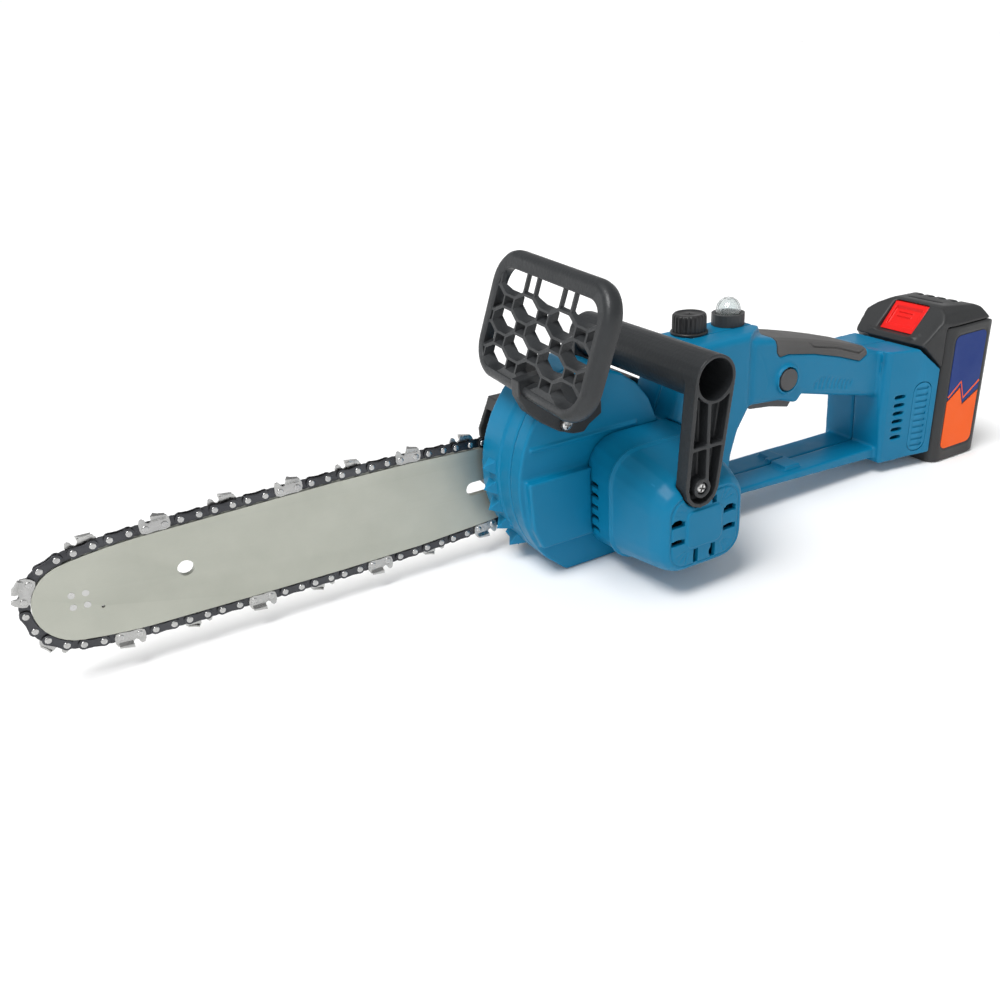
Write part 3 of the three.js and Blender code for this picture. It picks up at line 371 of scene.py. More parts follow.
def set_range(node, start, end, low, high):
    """Sets a Map Range node to turn start to end into low to high."""
    for socket, number in zip(("From Min", "From Max", "To Min", "To Max"), (start, end, low, high)):
        node.inputs[socket].default_value = number


def ranged(made, value, low, high, start=0.3, end=0.7):
    """A value spread from low to high. A noise keeps mostly between 0.3 and 0.7."""
    node = add_node(made, "ShaderNodeMapRange")
    set_range(node, start, end, low, high)
    link(made, value, node.inputs["Value"])
    return node.outputs["Result"]


def mixed(made, factor, one, two):
    """Two colours mixed by a factor. Each colour is an RGB triple or a socket."""
    node = add_node(made, "ShaderNodeMix", data_type="RGBA")
    link(made, factor, node.inputs[0])
    for socket, colour in ((node.inputs[6], one), (node.inputs[7], two)):
        if isinstance(colour, tuple):
            socket.default_value = (*colour, 1)
        else:
            link(made, colour, socket)
    return node.outputs[2]


def bumped(made, heights):
    """Stacks bumps, each a height socket with its strength and depth in millimetres."""
    before = None
    for height, strength, depth in heights:
        node = add_node(made, "ShaderNodeBump", Strength=strength, Distance=depth * MM)
        link(made, height, node.inputs["Height"])
        if before:
            link(made, before, node.inputs["Normal"])
        before = node.outputs["Normal"]
    link(made, before, principled(made).inputs["Normal"])


def painted_edge_highlight(made, tone, colour, amount, lift):
    """A tone with a painted highlight: it is brighter where the surface turns sharply outwards."""
    geometry = add_node(made, "ShaderNodeNewGeometry")
    edge_highlight_mask = ranged(made, geometry.outputs["Pointiness"], 0, amount, 0.52, 0.6)
    bright = tuple(min(1, c * 1.5 + lift) for c in colour)
    link(made, mixed(made, edge_highlight_mask, tone, bright), principled(made).inputs["Base Color"])


def moulded_plastic(name, colour, shade, roughness, grain, depth, gloss=0.4):
    """Moulded plastic: a slow drift of colour, a painted highlight on its sharp edges, and a fine grain."""
    made = material(name, Specular_IOR_Level=gloss)
    where = coordinates(made)
    drift = ranged(made, noise(made, where, 14, 4), 0, 1)
    # Painted highlight: the colour brightens where the surface turns sharply outwards.
    painted_edge_highlight(made, mixed(made, drift, colour, shade), colour, 0.35, 0.03)
    rough = ranged(made, noise(made, where, 60, 4), roughness - 0.06, roughness + 0.08)
    link(made, rough, principled(made).inputs["Roughness"])
    fine = noise(made, where, grain, 2)
    coarse = noise(made, where, 9, 1)
    bumped(made, [(fine, 0.6, depth), (coarse, 0.15, 0.5)])
    return made


def worked_metal(name, colour, shade, roughness, stretch=(1, 1, 1), scratch=0.02, metallic=1.0):
    """Metal with fine lines drawn out along one axis, and duller patches."""
    made = material(name, Metallic=metallic)
    lines = noise(made, coordinates(made, stretch), 900, 5)
    patches = noise(made, coordinates(made), 35, 5)
    tone = mixed(made, ranged(made, patches, 0, 1), colour, shade)
    # Painted highlight: the colour brightens on the metal's sharp outward edges.
    painted_edge_highlight(made, tone, colour, 0.6, 0.08)
    rough = ranged(made, lines, roughness - 0.08, roughness + 0.1)
    link(made, rough, principled(made).inputs["Roughness"])
    bumped(made, [(lines, 0.4, scratch), (patches, 0.1, 0.1)])
    return made


def clear_plastic():
    """Clear moulding with faint waves and a slightly clouded skin."""
    made = material("clear_dome", Transmission_Weight=0.9, IOR=1.45)
    waves = noise(made, coordinates(made), 90, 3)
    link(made, ranged(made, waves, 0.04, 0.12), principled(made).inputs["Roughness"])
    tint = mixed(made, ranged(made, waves, 0, 1), (0.95, 0.97, 0.97), (0.85, 0.9, 0.9))
    link(made, tint, principled(made).inputs["Base Color"])
    bumped(made, [(waves, 0.2, 0.1)])
    return made


# Each plastic has a main colour, a second colour that it drifts to, its roughness, and its grain's
# scale and depth in millimetres. Each metal has two colours, its roughness, and how its lines run.
BLUE = moulded_plastic(
    "blue_moulding", (0.0005, 0.175, 0.335), (0.0, 0.157, 0.303), 0.42, grain=2600, depth=0.012, gloss=0.25
)
BLACK = moulded_plastic(
    "black_moulding", (0.022, 0.023, 0.024), (0.03, 0.031, 0.032), 0.45, grain=1500, depth=0.05
)
CHARCOAL = moulded_plastic(
    "charcoal_moulding", (0.016, 0.018, 0.02), (0.023, 0.025, 0.027), 0.42, grain=480, depth=0.3, gloss=0.42
)
CAP_BLACK = moulded_plastic(
    "cap_moulding", (0.014, 0.014, 0.015), (0.02, 0.02, 0.021), 0.38, grain=1500, depth=0.03
)
GRIP = moulded_plastic(
    "grip_rubber", (0.085, 0.083, 0.082), (0.1, 0.098, 0.096), 0.62, grain=1800, depth=0.06, gloss=0.25
)
CONTROL = moulded_plastic(
    "control_moulding", (0.07, 0.07, 0.072), (0.085, 0.085, 0.086), 0.5, grain=1900, depth=0.04, gloss=0.3
)
RUBBER = moulded_plastic(
    "plain_rubber", (0.02, 0.02, 0.02), (0.03, 0.03, 0.03), 0.7, grain=1500, depth=0.05, gloss=0.2
)
RED = moulded_plastic(
    "latch_moulding", (0.8, 0.012, 0.009), (0.7, 0.01, 0.008), 0.35, grain=2200, depth=0.01, gloss=0.3
)
LABEL_NAVY = moulded_plastic(
    "label_navy", (0.008, 0.03, 0.16), (0.01, 0.034, 0.18), 0.5, grain=3000, depth=0.003, gloss=0.12
)
LABEL_ORANGE = moulded_plastic(
    "label_orange", (0.88, 0.1, 0.006), (0.83, 0.09, 0.006), 0.5, grain=3000, depth=0.003, gloss=0.12
)
MILKY = moulded_plastic(
    "tank_moulding", (0.75, 0.75, 0.7), (0.68, 0.68, 0.62), 0.4, grain=1500, depth=0.03
)
LEAD = moulded_plastic(
    "lead_insulation", (0.45, 0.015, 0.01), (0.38, 0.01, 0.01), 0.4, grain=1500, depth=0.03
)
BOARD = moulded_plastic(
    "printed_board", (0.01, 0.13, 0.05), (0.01, 0.1, 0.04), 0.35, grain=900, depth=0.08
)
CELL = moulded_plastic(
    "cell_sleeve", (0.05, 0.28, 0.16), (0.04, 0.22, 0.13), 0.35, grain=900, depth=0.02
)
CLEAR = clear_plastic()
STEEL = worked_metal(
    "zinc_steel", (0.56, 0.56, 0.55), (0.42, 0.42, 0.42), 0.3, stretch=(1, 14, 1), scratch=0.02
)
CUTTER_STEEL = worked_metal(
    "cutter_steel", (0.42, 0.42, 0.41), (0.3, 0.3, 0.3), 0.28, stretch=(0.3, 0.3, 0.3), scratch=0.003
)
RIVET_STEEL = worked_metal(
    "rivet_steel", (0.5, 0.5, 0.49), (0.4, 0.4, 0.4), 0.28, stretch=(0.3, 0.3, 0.3), scratch=0.003
)
STRAP_STEEL = worked_metal(
    "strap_steel", (0.06, 0.062, 0.068), (0.03, 0.03, 0.034), 0.34, scratch=0.006
)
BAR_STEEL = worked_metal(
    "bar_steel",
    (0.43, 0.44, 0.385),
    (0.38, 0.39, 0.34),
    0.42,
    stretch=(0.6, 1, 14),
    scratch=0.012,
    metallic=0.75,
)
DARK_STEEL = worked_metal("dark_steel", (0.09, 0.09, 0.095), (0.05, 0.05, 0.055), 0.4)
CAN_STEEL = worked_metal("can_steel", (0.35, 0.35, 0.36), (0.25, 0.25, 0.26), 0.35)
ALLOY = worked_metal("cast_alloy", (0.55, 0.56, 0.57), (0.45, 0.46, 0.47), 0.5)
COPPER = worked_metal("winding", (0.6, 0.26, 0.1), (0.45, 0.18, 0.07), 0.35)
SLOT_FINISH = {
    "bar_steel": BAR_STEEL,
    "chain_steel": STRAP_STEEL,
    "hardware_steel": STEEL,
    "motor_steel": CAN_STEEL,
    "dark_steel": DARK_STEEL,
    "magnet": DARK_STEEL,
    "winding": COPPER,
    "plate_alloy": ALLOY,
    "black_plastic": BLACK,
    "charcoal_plastic": CHARCOAL,
    "blue_plastic": BLUE,
    "grip_rubber": GRIP,
    "soft_rubber": RUBBER,
    "control_plastic": CONTROL,
    "tank_plastic": MILKY,
    "clear_plastic": CLEAR,
    "board": BOARD,
    "lead": LEAD,
    "latch_plastic": RED,
    "cell": CELL,
}


def dress_cad():
    """Gives every CAD node its finish and a small round on its edges."""
    for entry in frame["record"]["subparts"]:
        cad = NODES[entry["node"]]
        cad.data.materials.clear()
        cad.data.materials.append(SLOT_FINISH[entry["material_slot"]])
        bevelled(cad, 0.4)


# ---- saw chain ----------------------------------------------------------------------------------
NOSE_X, DRIVE_X = -17, 330
LINK_PAIR = 19.05
LINK_COUNT = 44
NOSE_RADIUS = 9 * LINK_PAIR / (2 * math.pi)
DRIVE_RADIUS = 6 * LINK_PAIR / (2 * math.pi)
STRAP_SPAN = 10.25
TAIL_SPAN = LINK_PAIR - STRAP_SPAN
FIRST_CUTTER = 0.35 * 2 * LINK_PAIR
FLANK_START, FLANK_END = 30, 285
NOSE_SHOULDER = Vector((2, 31.2))
DRIVE_LINK_HALF, SIDE_LINK_OUTER = 0.65, 1.85
SIDE_LINK_INNER = DRIVE_LINK_HALF + 0.1


def flank_height(x):
    """The rivets' height over the bar's centre line, along its slightly bellied edge."""
    return 31.2 + 2.5157e-4 * x * x - 1.19102e-6 * x**3


def rivet_line():
    """The rivets' closed path in the bar's plane, from the nose's tip over the top and back."""
    top = [Vector(p) for p in arc(NOSE_X, 0, NOSE_RADIUS, 180, 100, 24)]
    start, end = top[-1], Vector((FLANK_START, flank_height(FLANK_START)))
    for i in range(1, 9):
        t = i / 8
        top.append(start * (1 - t) ** 2 + NOSE_SHOULDER * 2 * t * (1 - t) + end * t * t)
    for i in range(1, 26):
        x = FLANK_START + (FLANK_END - FLANK_START) * i / 25
        top.append(Vector((x, flank_height(x))))
    top += [Vector(p) for p in arc(DRIVE_X, 0, DRIVE_RADIUS, 82, 0, 12)]
    return top + [Vector((p.x, -p.y)) for p in top[-2:0:-1]]


RIVET_LINE = rivet_line()
RIVET_STEPS = list(zip(RIVET_LINE, RIVET_LINE[1:] + RIVET_LINE[:1]))
LINE_LENGTH = sum((b - a).length for a, b in RIVET_STEPS)


def on_line(travel):
    """The point a share of the chain's own length along its path."""
    left = (travel / (LINK_COUNT * LINK_PAIR)) % 1 * LINE_LENGTH
    for a, b in RIVET_STEPS:
        step = (b - a).length
        if left <= step:
            return a.lerp(b, left / step)
        left -= step
    return RIVET_LINE[0]


def link_frame(first, second):
    """A link's middle, its forward direction and the way out from the bar."""
    one, two = on_line(first), on_line(second)
    along = (two - one).normalized()
    return (one + two) / 2, -along, Vector((-along.y, along.x))


def add_slab(bm, place, outline, y0, y1):
    """A flat link of an outline given forwards and outwards, between two widths."""
    middle, forward, outward = place
    sides = []
    for y in (y0, y1):
        points = [middle + forward * u + outward * w for u, w in outline]
        sides.append([bm.verts.new(at(p.x, y, p.y)) for p in points])
    skin(bm, sides)


def strap_outline(half_span, radius, waist):
    """A figure of eight: a round end about each rivet and a waist between them."""
    front = arc(half_span, 0, radius, -115, 115, 10)
    back = [(-u, -w) for u, w in front]
    return front + [(0, waist)] + back + [(0, -waist)]


# A cutter's side, forwards and outwards from its middle: a rounded foot, the depth gauge in
# front, the gullet, and the upright that carries the tooth.
CUTTER_OUTLINE = [
    (-8.4, 0),
    (-7.6, -2.4),
    (-5.1, -3.2),
    (0, -2.7),
    (5.1, -3.2),
    (7.7, -2.2),
    (8.3, 0),
    (8.2, 3.4),
    (7.3, 5.6),
    (5.9, 6.0),
    (4.7, 5.0),
    (4.1, 3.4),
    (2.9, 2.6),
    (1.7, 3.2),
    (1.0, 4.8),
    (0.9, 6.0),
    (-7.2, 5.2),
    (-8.3, 3),
]
TOOTH_OUTER_Y = 3.3


def add_tooth(bm, place, side):
    """The hooked top of a cutter: it flares outwards, then turns in over the chain's middle."""
    middle, forward, outward = place
    rings = []
    for u, height, inward in ((-7.4, 5.9, 0.6), (-3.4, 6.5, -0.2), (0.6, 7.1, -0.9)):
        section = [
            (0.8, 3.0),
            (1.9, 3.0),
            (3.2, 5.0),
            (TOOTH_OUTER_Y, height),
            (inward, height + 0.15),
            (inward, height - 0.85),
            (2.1, height - 1.0),
            (1.5, 4.8),
        ]
        ring = []
        for y, w in section:
            slant = (y - TOOTH_OUTER_Y) * 0.5 if u > 0 else 0
            p = middle + forward * (u + slant + 0.9) + outward * w
            ring.append(bm.verts.new(at(p.x, y * side, p.y)))
        rings.append(ring)
    skin(bm, rings)


def add_rivet(bm, travel, side):
    """A rivet's domed head and the short pin that it stands on."""
    centre = on_line(travel)
    rings = []
    for y, radius in ((1.5, 1.9), (2.0, 1.9), (2.25, 1.6), (2.38, 0.9)):
        outline = circle(centre.x, centre.y, radius, 14)
        rings.append([bm.verts.new(at(a, y * side, b)) for a, b in outline])
    skin(bm, rings)


def chain():
    """Pairs of straps and single drive links by turns. Every other pair has a cutter on one side."""
    strap = strap_outline(STRAP_SPAN / 2, 3.15, 2.5)
    drive = strap_outline(TAIL_SPAN / 2 + 0.4, 2.75, 3.0)
    straps, cutters, rivets, drives = (bmesh.new() for _ in range(4))
    for k in range(LINK_COUNT):
        centre = FIRST_CUTTER + k * LINK_PAIR
        ends = (centre - STRAP_SPAN / 2, centre + STRAP_SPAN / 2)
        place = link_frame(*ends)
        cutting = 0 if k % 2 else (1 if (k // 2) % 2 else -1)
        for side in (-1, 1):
            y0, y1 = sorted((SIDE_LINK_INNER * side, SIDE_LINK_OUTER * side))
            if side == cutting:
                add_slab(cutters, place, CUTTER_OUTLINE, y0, y1)
                add_tooth(cutters, place, side)
            else:
                add_slab(straps, place, strap, y0, y1)
            for end in ends:
                add_rivet(rivets, end, side)
        tail = link_frame(ends[1], ends[1] + TAIL_SPAN)
        add_slab(drives, tail, drive, -DRIVE_LINK_HALF, DRIVE_LINK_HALF)
    made = (
        (straps, "chain_straps", STRAP_STEEL, 0.22),
        (drives, "chain_drive_links", STRAP_STEEL, 0.15),
        (cutters, "chain_cutters", CUTTER_STEEL, 0.2),
        (rivets, "chain_rivets", RIVET_STEEL, 0),
    )
    for bm, name, finish, edge in made:
        obj = piece(from_bmesh(bm, name), name, finish, "chain_bar")
        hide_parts("saw_chain")
        if edge:
            bevelled(obj, edge, 2)
        else:
            smooth_shaded(obj)


def bar_details():
    """The nose's four rivets, which stand a hair proud, and its oil hole."""
    heads = []
    for i in range(4):
        angle = math.radians(40 + 90 * i)
        a = NOSE_RIVETS[0] + 5.1 * math.cos(angle)
        b = NOSE_RIVETS[1] + 5.1 * math.sin(angle)
        heads.append(rod(a, b, 1.9, -2.14, 2.14, sides=24))
    obj = join(heads)
    piece(obj, "bar_nose_rivets", RIVET_STEEL, "chain_bar")
    bevelled(obj, 0.1, 2)
    bar = combine(copy_of("guide_bar"), [rod(*BAR_OIL_HOLE, 0.9, -3, 3, sides=16)], "DIFFERENCE")
    piece(bar, "guide_bar_plate", BAR_STEEL, "chain_bar")
    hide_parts("guide_bar")
    bevelled(bar, 0.25, 2)


# ---- casings ------------------------------------------------------------------------------------
CASE_FINE = (0.7, 2, 0.35)
CASE_SOFT = (0.9, 5)
HOLDER_FRONT_X = 529
LOOP_CLIP_Z = (-30, -25)


def holder_side(x):
    """The holder's left face, which leans outwards towards the battery."""
    return -66 - (x - HOLDER_FRONT_X) * 0.161 if x < 560 else -71 - (x - 560) * 0.2


def side_strip(x0, x1, z0, z1, deep):
    """A shallow cut in the holder's left face."""
    outline = [(x, holder_side(x) - 1) for x in (x0, x1)]
    outline += [(x, holder_side(x) + deep) for x in (x1, x0)]
    return prism(outline, z0, z1, "z")


def stadium():
    """A round-ended border with short ribs inside it, pressed into the holder's side."""
    x0, x1, z0, z1 = 555.5, 571.5, -36.5, 18.5
    rib_half, end_room, side_room = 0.9, 5.2, 3
    band = raised_band(rounded(x0, z0, x1, z1, 7.5), -73, -70.7, 0.9)
    made = [turned_about(band, (563.5, -71.3, 0), "Z", -10.2)]
    for i in range(10):
        z = z0 + end_room + i * (z1 - z0 - 2 * end_room) / 9
        made.append(side_strip(x0 + side_room, x1 - side_room, z - rib_half, z + rib_half, 0.6))
    return made


def holder_corner():
    """What rounds off the holder's upright front corner."""
    radius, side_y = 4, -62.2
    curve = arc(HOLDER_FRONT_X + radius, side_y, radius, 180, 270, 8)
    outside = [(HOLDER_FRONT_X + radius, -72), (HOLDER_FRONT_X - 2, -72), (HOLDER_FRONT_X - 2, side_y)]
    return prism(curve + outside, -44, 52, "z")


def pad_stripes(pad):
    """Low slanting stripes across the thumb's pad."""
    stripes = []
    for i in range(10):
        x = 463 + i * 4
        stripe = prism([(x, 18), (x + 2, 18), (x + 8, 44), (x + 6, 44)], -59.8, -58)
        stripes.append(combine(stripe, [prism(pad, -62, -55)], "INTERSECT"))
    return stripes


def left_casing():
    case_rib = box(240, 318, -53.2, -51.5, 38.3, 40.2)
    collar = combine(rod(*LOCK_BUTTON, 9.9, -62.4, -61), [rod(*LOCK_BUTTON, 8.5, -63, -60)], "DIFFERENCE")
    loop_clip = box(447, 461, -56, -41, *LOOP_CLIP_Z)
    pad = [(464, 35.5), (472, 39), (502, 30), (499, 24), (463, 31.5)]
    tank_crease = line_prism([(404, 79), (416, 60), (421, 44), (414, 33)], 0.9, -61, -59.4)
    holder_crease = line_prism([(527.5, 50), (524, 36), (526, 20), (528, 8)], 0.8, -67, -59.6)
    slots = []
    for i in range(6):
        z = 9.5 - 6.3 * i
        slots.append(prism(rounded(539.8, z - 1.25, 549, z + 1.25, 1.1), -80, -58))
    moulding(
        "left_casing",
        "left_case_half",
        BLUE,
        "saw",
        CASE_FINE,
        CASE_SOFT,
        remove=[holder_corner(), tank_crease, holder_crease, prism(pad, -61, -59.1)],
        add=[join([case_rib, collar, loop_clip, *pad_stripes(pad)])],
        crisp=[join(slots + stadium())],
    )


def case_strip(r0, r1, first, last):
    """A curved strip's outline about the gear case's centre."""
    return arc(*GEAR_CASE, r0, first, last, 30) + arc(*GEAR_CASE, r1, last, first, 30)


def claws():
    """Five square claws up the front of the gear case, beside the bar."""
    half_width, half_height, reach = 6, 5.6, 9.5
    base_y, tip_y = -20, -21
    made = []
    for i in range(5):
        z = 20.8 - 13.4 * i
        angle = math.pi - math.asin((z - GEAR_CASE[1]) / 80)
        out = Vector((math.cos(angle), math.sin(angle)))
        up = Vector((-out.y, out.x))
        middle = Vector(GEAR_CASE) + out * 79
        bm = bmesh.new()
        corners = []
        for across, along in ((-1, -1), (-1, 1), (1, 1), (1, -1)):
            p = middle + up * along * half_height
            corners.append(bm.verts.new(at(p.x, base_y + across * half_width, p.y)))
        top = middle + out * reach
        tip = bm.verts.new(at(top.x, tip_y, top.y))
        bm.faces.new(corners)
        for j in range(4):
            bm.faces.new([corners[j], corners[(j + 1) % 4], tip])
        made.append(from_bmesh(bm))
    return made


def right_casing():
    """The right half. Its sharper claws stand in place of the CAD's plain ones."""
    front_strip = prism(case_strip(78.5, 81.1, 122, 205), -27.5, -6.4)
    clip = box(450.5, 460.5, -39.8, -24, *LOOP_CLIP_Z)
    clip_end = box(447, 461, -39.8, -35, *LOOP_CLIP_Z)
    plain_claws = prism(case_strip(80.1, 100, 125, 212), -39, 2)
    moulding(
        "right_casing",
        "right_case_half",
        BLUE,
        "saw",
        CASE_FINE,
        CASE_SOFT,
        remove=[plain_claws],
        add=[front_strip, clip, clip_end],
        late=[join(claws())],
    )


def housing_ring(y, x0, x1, z0, z1, radius, thickness):
    """A round bar along the motor housing's rounded outline."""
    return round_loop([(x, y, z) for x, z in rounded(x0, z0, x1, z1, radius, 8)], thickness)


def fan_grooves():
    """Three short grooves that fan out from each corner of the motor housing's badge."""
    inner, outer = 2, 10
    made = []
    for x, z, first in ((327, 8, 20), (327, -16, -70), (304, 8, 110), (304, -16, 200)):
        for i in range(3):
            angle = math.radians(first + 25 * i)
            ends = [(x + r * math.cos(angle), z + r * math.sin(angle)) for r in (inner, outer)]
            made.append(line_prism(ends, 1.0, -124, -122.2))
    return made


def housing_slots():
    """Eight slots in the motor housing's face, two a side, and five by its foot, towards the bar."""
    half, face = 1.7, (-130, -119)
    slots = []
    for shift in (-6.5, 6.5):
        z = -4 + shift * 0.9
        slots.append(box(291.2, 300.6, *face, z - half, z + half))
        slots.append(box(329.4, 338.8, *face, z - half, z + half))
        x = 315.5 + shift
        slots.append(box(x - half, x + half, *face, -26.4, -17.2))
        slots.append(box(x - half, x + half, *face, 9.4, 14))
    for i in range(5):
        z = 9 - i * 7.5
        slots.append(box(266, 285.5, -64.7, -54.3, z - 1.6, z + 1.6))
    return slots


def motor_housing():
    badge = prism(rounded(302, -15.5, 327.5, 8, 4), -124.2, -121)
    step = housing_ring(-79, 278.7, 354.8, -37.3, 35.3, 20, 1.3)
    groove = housing_ring(-76.6, 278.2, 355.4, -37.6, 35.9, 20, 0.7)
    rim = housing_ring(-122.7, 290.8, 341, -26.8, 17.6, 11, 0.8)
    moulding(
        "motor_housing",
        "motor_shell",
        BLUE,
        "saw",
        fine=(0.55, 2, 0.4),
        soft=(0.8, 18),
        remove=[groove, rim, join(fan_grooves())],
        add=[join([badge, step])],
        crisp=[join(housing_slots())],
    )


def grip():
    """The rubber of the rear handle, with one groove along its side."""
    line = [(451, 69), (461.5, 61.8), (483, 56.8), (506, 48.8), (511, 50), (512.5, 53)]
    groove = line_prism(line, 1.2, -61, -58.6)
    moulding("grip_overmould", "grip_skin", GRIP, "saw", (0.45, 2, 0.4), remove=[groove])


def cover():
    moulding("sprocket_cover", "sprocket_case", BLACK, "saw", (0.8, 3, 0.4))


# ---- handle and guard ---------------------------------------------------------------------------
def front_handle():
    bore = rod(*LEG_SCREW, 3.85, -130, -118, sides=40)
    moulding(
        "front_handle",
        "front_handle_bar",
        CHARCOAL,
        "saw",
        fine=(0.45, 4, 0.5),
        crisp=[bore],
    )


# The guard is drawn upright round an origin in its front face, with x towards its back, and then
# leant back and placed.
GUARD_PLACE = (
    Matrix.Translation(at(244.1, -40, 111.4))
    @ Matrix.Rotation(math.radians(18.4), 4, "Y")
    @ Matrix.Rotation(math.radians(2.4), 4, "X")
    @ Matrix.Translation(-at(0, 0, 0))
)


def guard_rim():
    """The guard's frame: a crisp inner lip in front, and a broad round shoulder that sweeps back."""
    low_z, high_z = -36, 40
    path = rounded(-78.5, low_z, 45, high_z, 21, 12)
    section = [(0.3, -5.6), (1.1, -6.1), (2.6, -6), (5, -5.6), (8, -4.9), (10, -3.7), (10.7, -1.9)]
    section += [(9.8, -0.1), (7.2, 0.8), (4.6, 0.7), (2.3, -0.1), (0.8, -1.6), (0, -3.8)]
    bm = bmesh.new()
    rings = []
    for i, p in enumerate(path):
        before, after = Vector(path[i - 1]), Vector(path[(i + 1) % len(path)])
        along = (after - before).normalized()
        outward = Vector((along.y, -along.x))
        height = max(0.0, (Vector(p).y - low_z + 0.5) / (high_z - low_z + 0.5))
        ring = []
        for depth, out in section:
            reach = out * (1 + 0.7 * height) if out < -4 else out
            q = Vector(p) + outward * reach
            ring.append(bm.verts.new(at(depth, q.x, q.y)))
        rings.append(ring)
    skin(bm, rings, looped=True)
    return from_bmesh(bm)


def guard_hole(outline):
    """A hole through the guard whose walls rise towards the back."""
    slope, level_at = 0.587, 1.2
    bm = bmesh.new()
    ends = []
    for depth in (-3, 12):
        rise = slope * (depth - level_at)
        ends.append([bm.verts.new(at(depth, y, z + rise)) for y, z in outline])
    skin(bm, ends)
    return from_bmesh(bm)


def guard_lattice():
    """Rows of long eight-sided cells, each row half a pitch along, with square gaps between.

    The row above the topmost full one runs up into the rim, and the lattice is thinner there.
    """
    pitch, row_pitch = 38.97, 11.25
    gap_half, gap_reach, open_top = 4.9, 3, 16
    plate = prism(rounded(-74.5, -32, 40.5, 31.5, 16, 8), 0.9, 7.2, "x")
    low_half = [(-13, 2.7), (-13, -2.7), (-5, -6.8), (5, -6.8), (13, -2.7), (13, 2.7)]
    cell = low_half + [(5, 6.8), (-5, 6.8)]
    open_cell = low_half[1:5] + [(13, open_top), (-13, open_top)]
    holes = []
    for row in range(-1, 4):
        z = 10.5 - row * row_pitch
        outline, gap_top = (open_cell, open_top) if row < 0 else (cell, gap_reach)
        for column in range(-2, 2):
            y = 0.5 + (column + (0.5 if row % 2 else 0)) * pitch
            left, right = y + pitch / 2 - gap_half, y + pitch / 2 + gap_half
            low, high = z - gap_reach, z + gap_top
            holes.append(guard_hole([(y + a, z + b) for a, b in outline]))
            holes.append(guard_hole([(left, low), (right, low), (right, high), (left, high)]))
    behind_top = prism([(7.6, 15), (3.4, 19.5), (3.4, 34), (9, 34), (9, 15)], -90, 60)
    return combine(plate, [join(holes), behind_top], "DIFFERENCE")


def guard_bracket():
    """The flange that the guard's screw holds, hollowed to sit on the gear case, and its block."""
    outline = [(231, 86), (231, 76), (236, 66), (246, 57), (258, 49), (268, 45.3), (275, 45), (279, 49)]
    outline += [(288, 54), (288, 62), (270, 80), (250, 88)]
    bracket = prism(outline, -58, -50)
    block = prism([(254, 58), (254, 77), (262, 81), (284, 66), (287, 55)], -51, -13)
    screw_seat = rod(*GUARD_SCREW, 5, -59, -57.2, sides=24)
    case_front = rod(*GEAR_CASE, 81.6, -52.2, 20, sides=96)
    combine(bracket, [block], "UNION")
    combine(bracket, [case_front, screw_seat], "DIFFERENCE")
    return remeshed(bracket, 0.6, 6)


def hand_guard():
    rim = guard_rim()
    lattice = guard_lattice()
    for part in (rim, lattice):
        part.data.transform(GUARD_PLACE)
    combine(lattice, [rim, guard_bracket()], "UNION")
    smooth_shaded(lattice)
    piece(lattice, "guard_shell", CHARCOAL, "saw")
    bevelled(lattice, 0.3, 2, 35)
    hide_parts("hand_guard")


# ---- battery ------------------------------------------------------------------------------------
LABEL_FACE_Y = -76.95
FAR_LEFT, FAR_RIGHT = -90, 10


def battery():
    """The battery's box and its head, each cut from the CAD's, and the label on the box."""
    cuts = [prism(rounded(584.5, -41, 621, 50.5, 6), -79, -76.9)]
    for i in range(6):
        z = -38 + i * 16
        cuts.append(box(627.9, 632, -80, -66, z, z + 2))
        cuts.append(box(627.9, 632, -14, 0, z, z + 2))
    moulding(
        "battery_case",
        "battery_shell",
        BLACK,
        "battery",
        fine=(0.6, 2, 0.4),
        soft=(0.9, 6),
        remove=[join(cuts), rear_corner(47, 1), rear_corner(-40.5, -1)],
    )
    vents = [box(607, 622, y - 2.2, y + 2.2, 64.3, 80) for y in (-54, -44, -34, -24)]
    tip = prism([(616, 67), (622.5, 55.5), (640, 55.5), (640, 72)], FAR_LEFT, FAR_RIGHT)
    moulding(
        "battery_cover",
        "battery_head",
        BLACK,
        "battery",
        fine=(0.55, 2, 0.4),
        soft=(0.9, 8),
        remove=[join(vents), tip],
    )
    label(LABEL_FACE_Y)


def rear_corner(z, way):
    """What rounds off the battery's rear edge, at its top (way 1) or its bottom (way -1)."""
    x, radius = 619.6, 10
    curve = [(a, z + way * (b - 0.9)) for a, b in arc(x, 0, radius, 0, 90, 8)]
    outside = [(x, z + way * 18), (640, z + way * 18), (640, z)]
    return prism(curve + outside, FAR_LEFT, FAR_RIGHT)


def label(face):
    """A plain two-colour label: dark above, bright below, parted by a zigzag. It has no lettering."""
    outline = rounded(586, -39.5, 619.5, 49, 5)
    front, back = face - 0.35, face + 0.1
    zigzag = [(580, -4), (598.5, 8.9), (603.5, -5.4), (626, 6.5)]
    over = prism(zigzag + [(626, 70), (580, 70)], -90, -60)
    under = prism([(a, b - 1.6) for a, b in zigzag] + [(626, -70), (580, -70)], -90, -60)
    upper = combine(prism(outline, front, back), [over], "INTERSECT")
    lower = combine(prism(outline, front, back), [under], "INTERSECT")
    stripe = line_prism([(586.2, 2.2), (598.5, 12.4), (603.5, -1.4), (619.3, 9.6)], 1.5, front - 0.1, back)
    piece(upper, "label_upper", LABEL_NAVY, "battery")
    piece(lower, "label_lower", LABEL_ORANGE, "battery")
    piece(stripe, "label_stripe", LABEL_ORANGE, "battery")


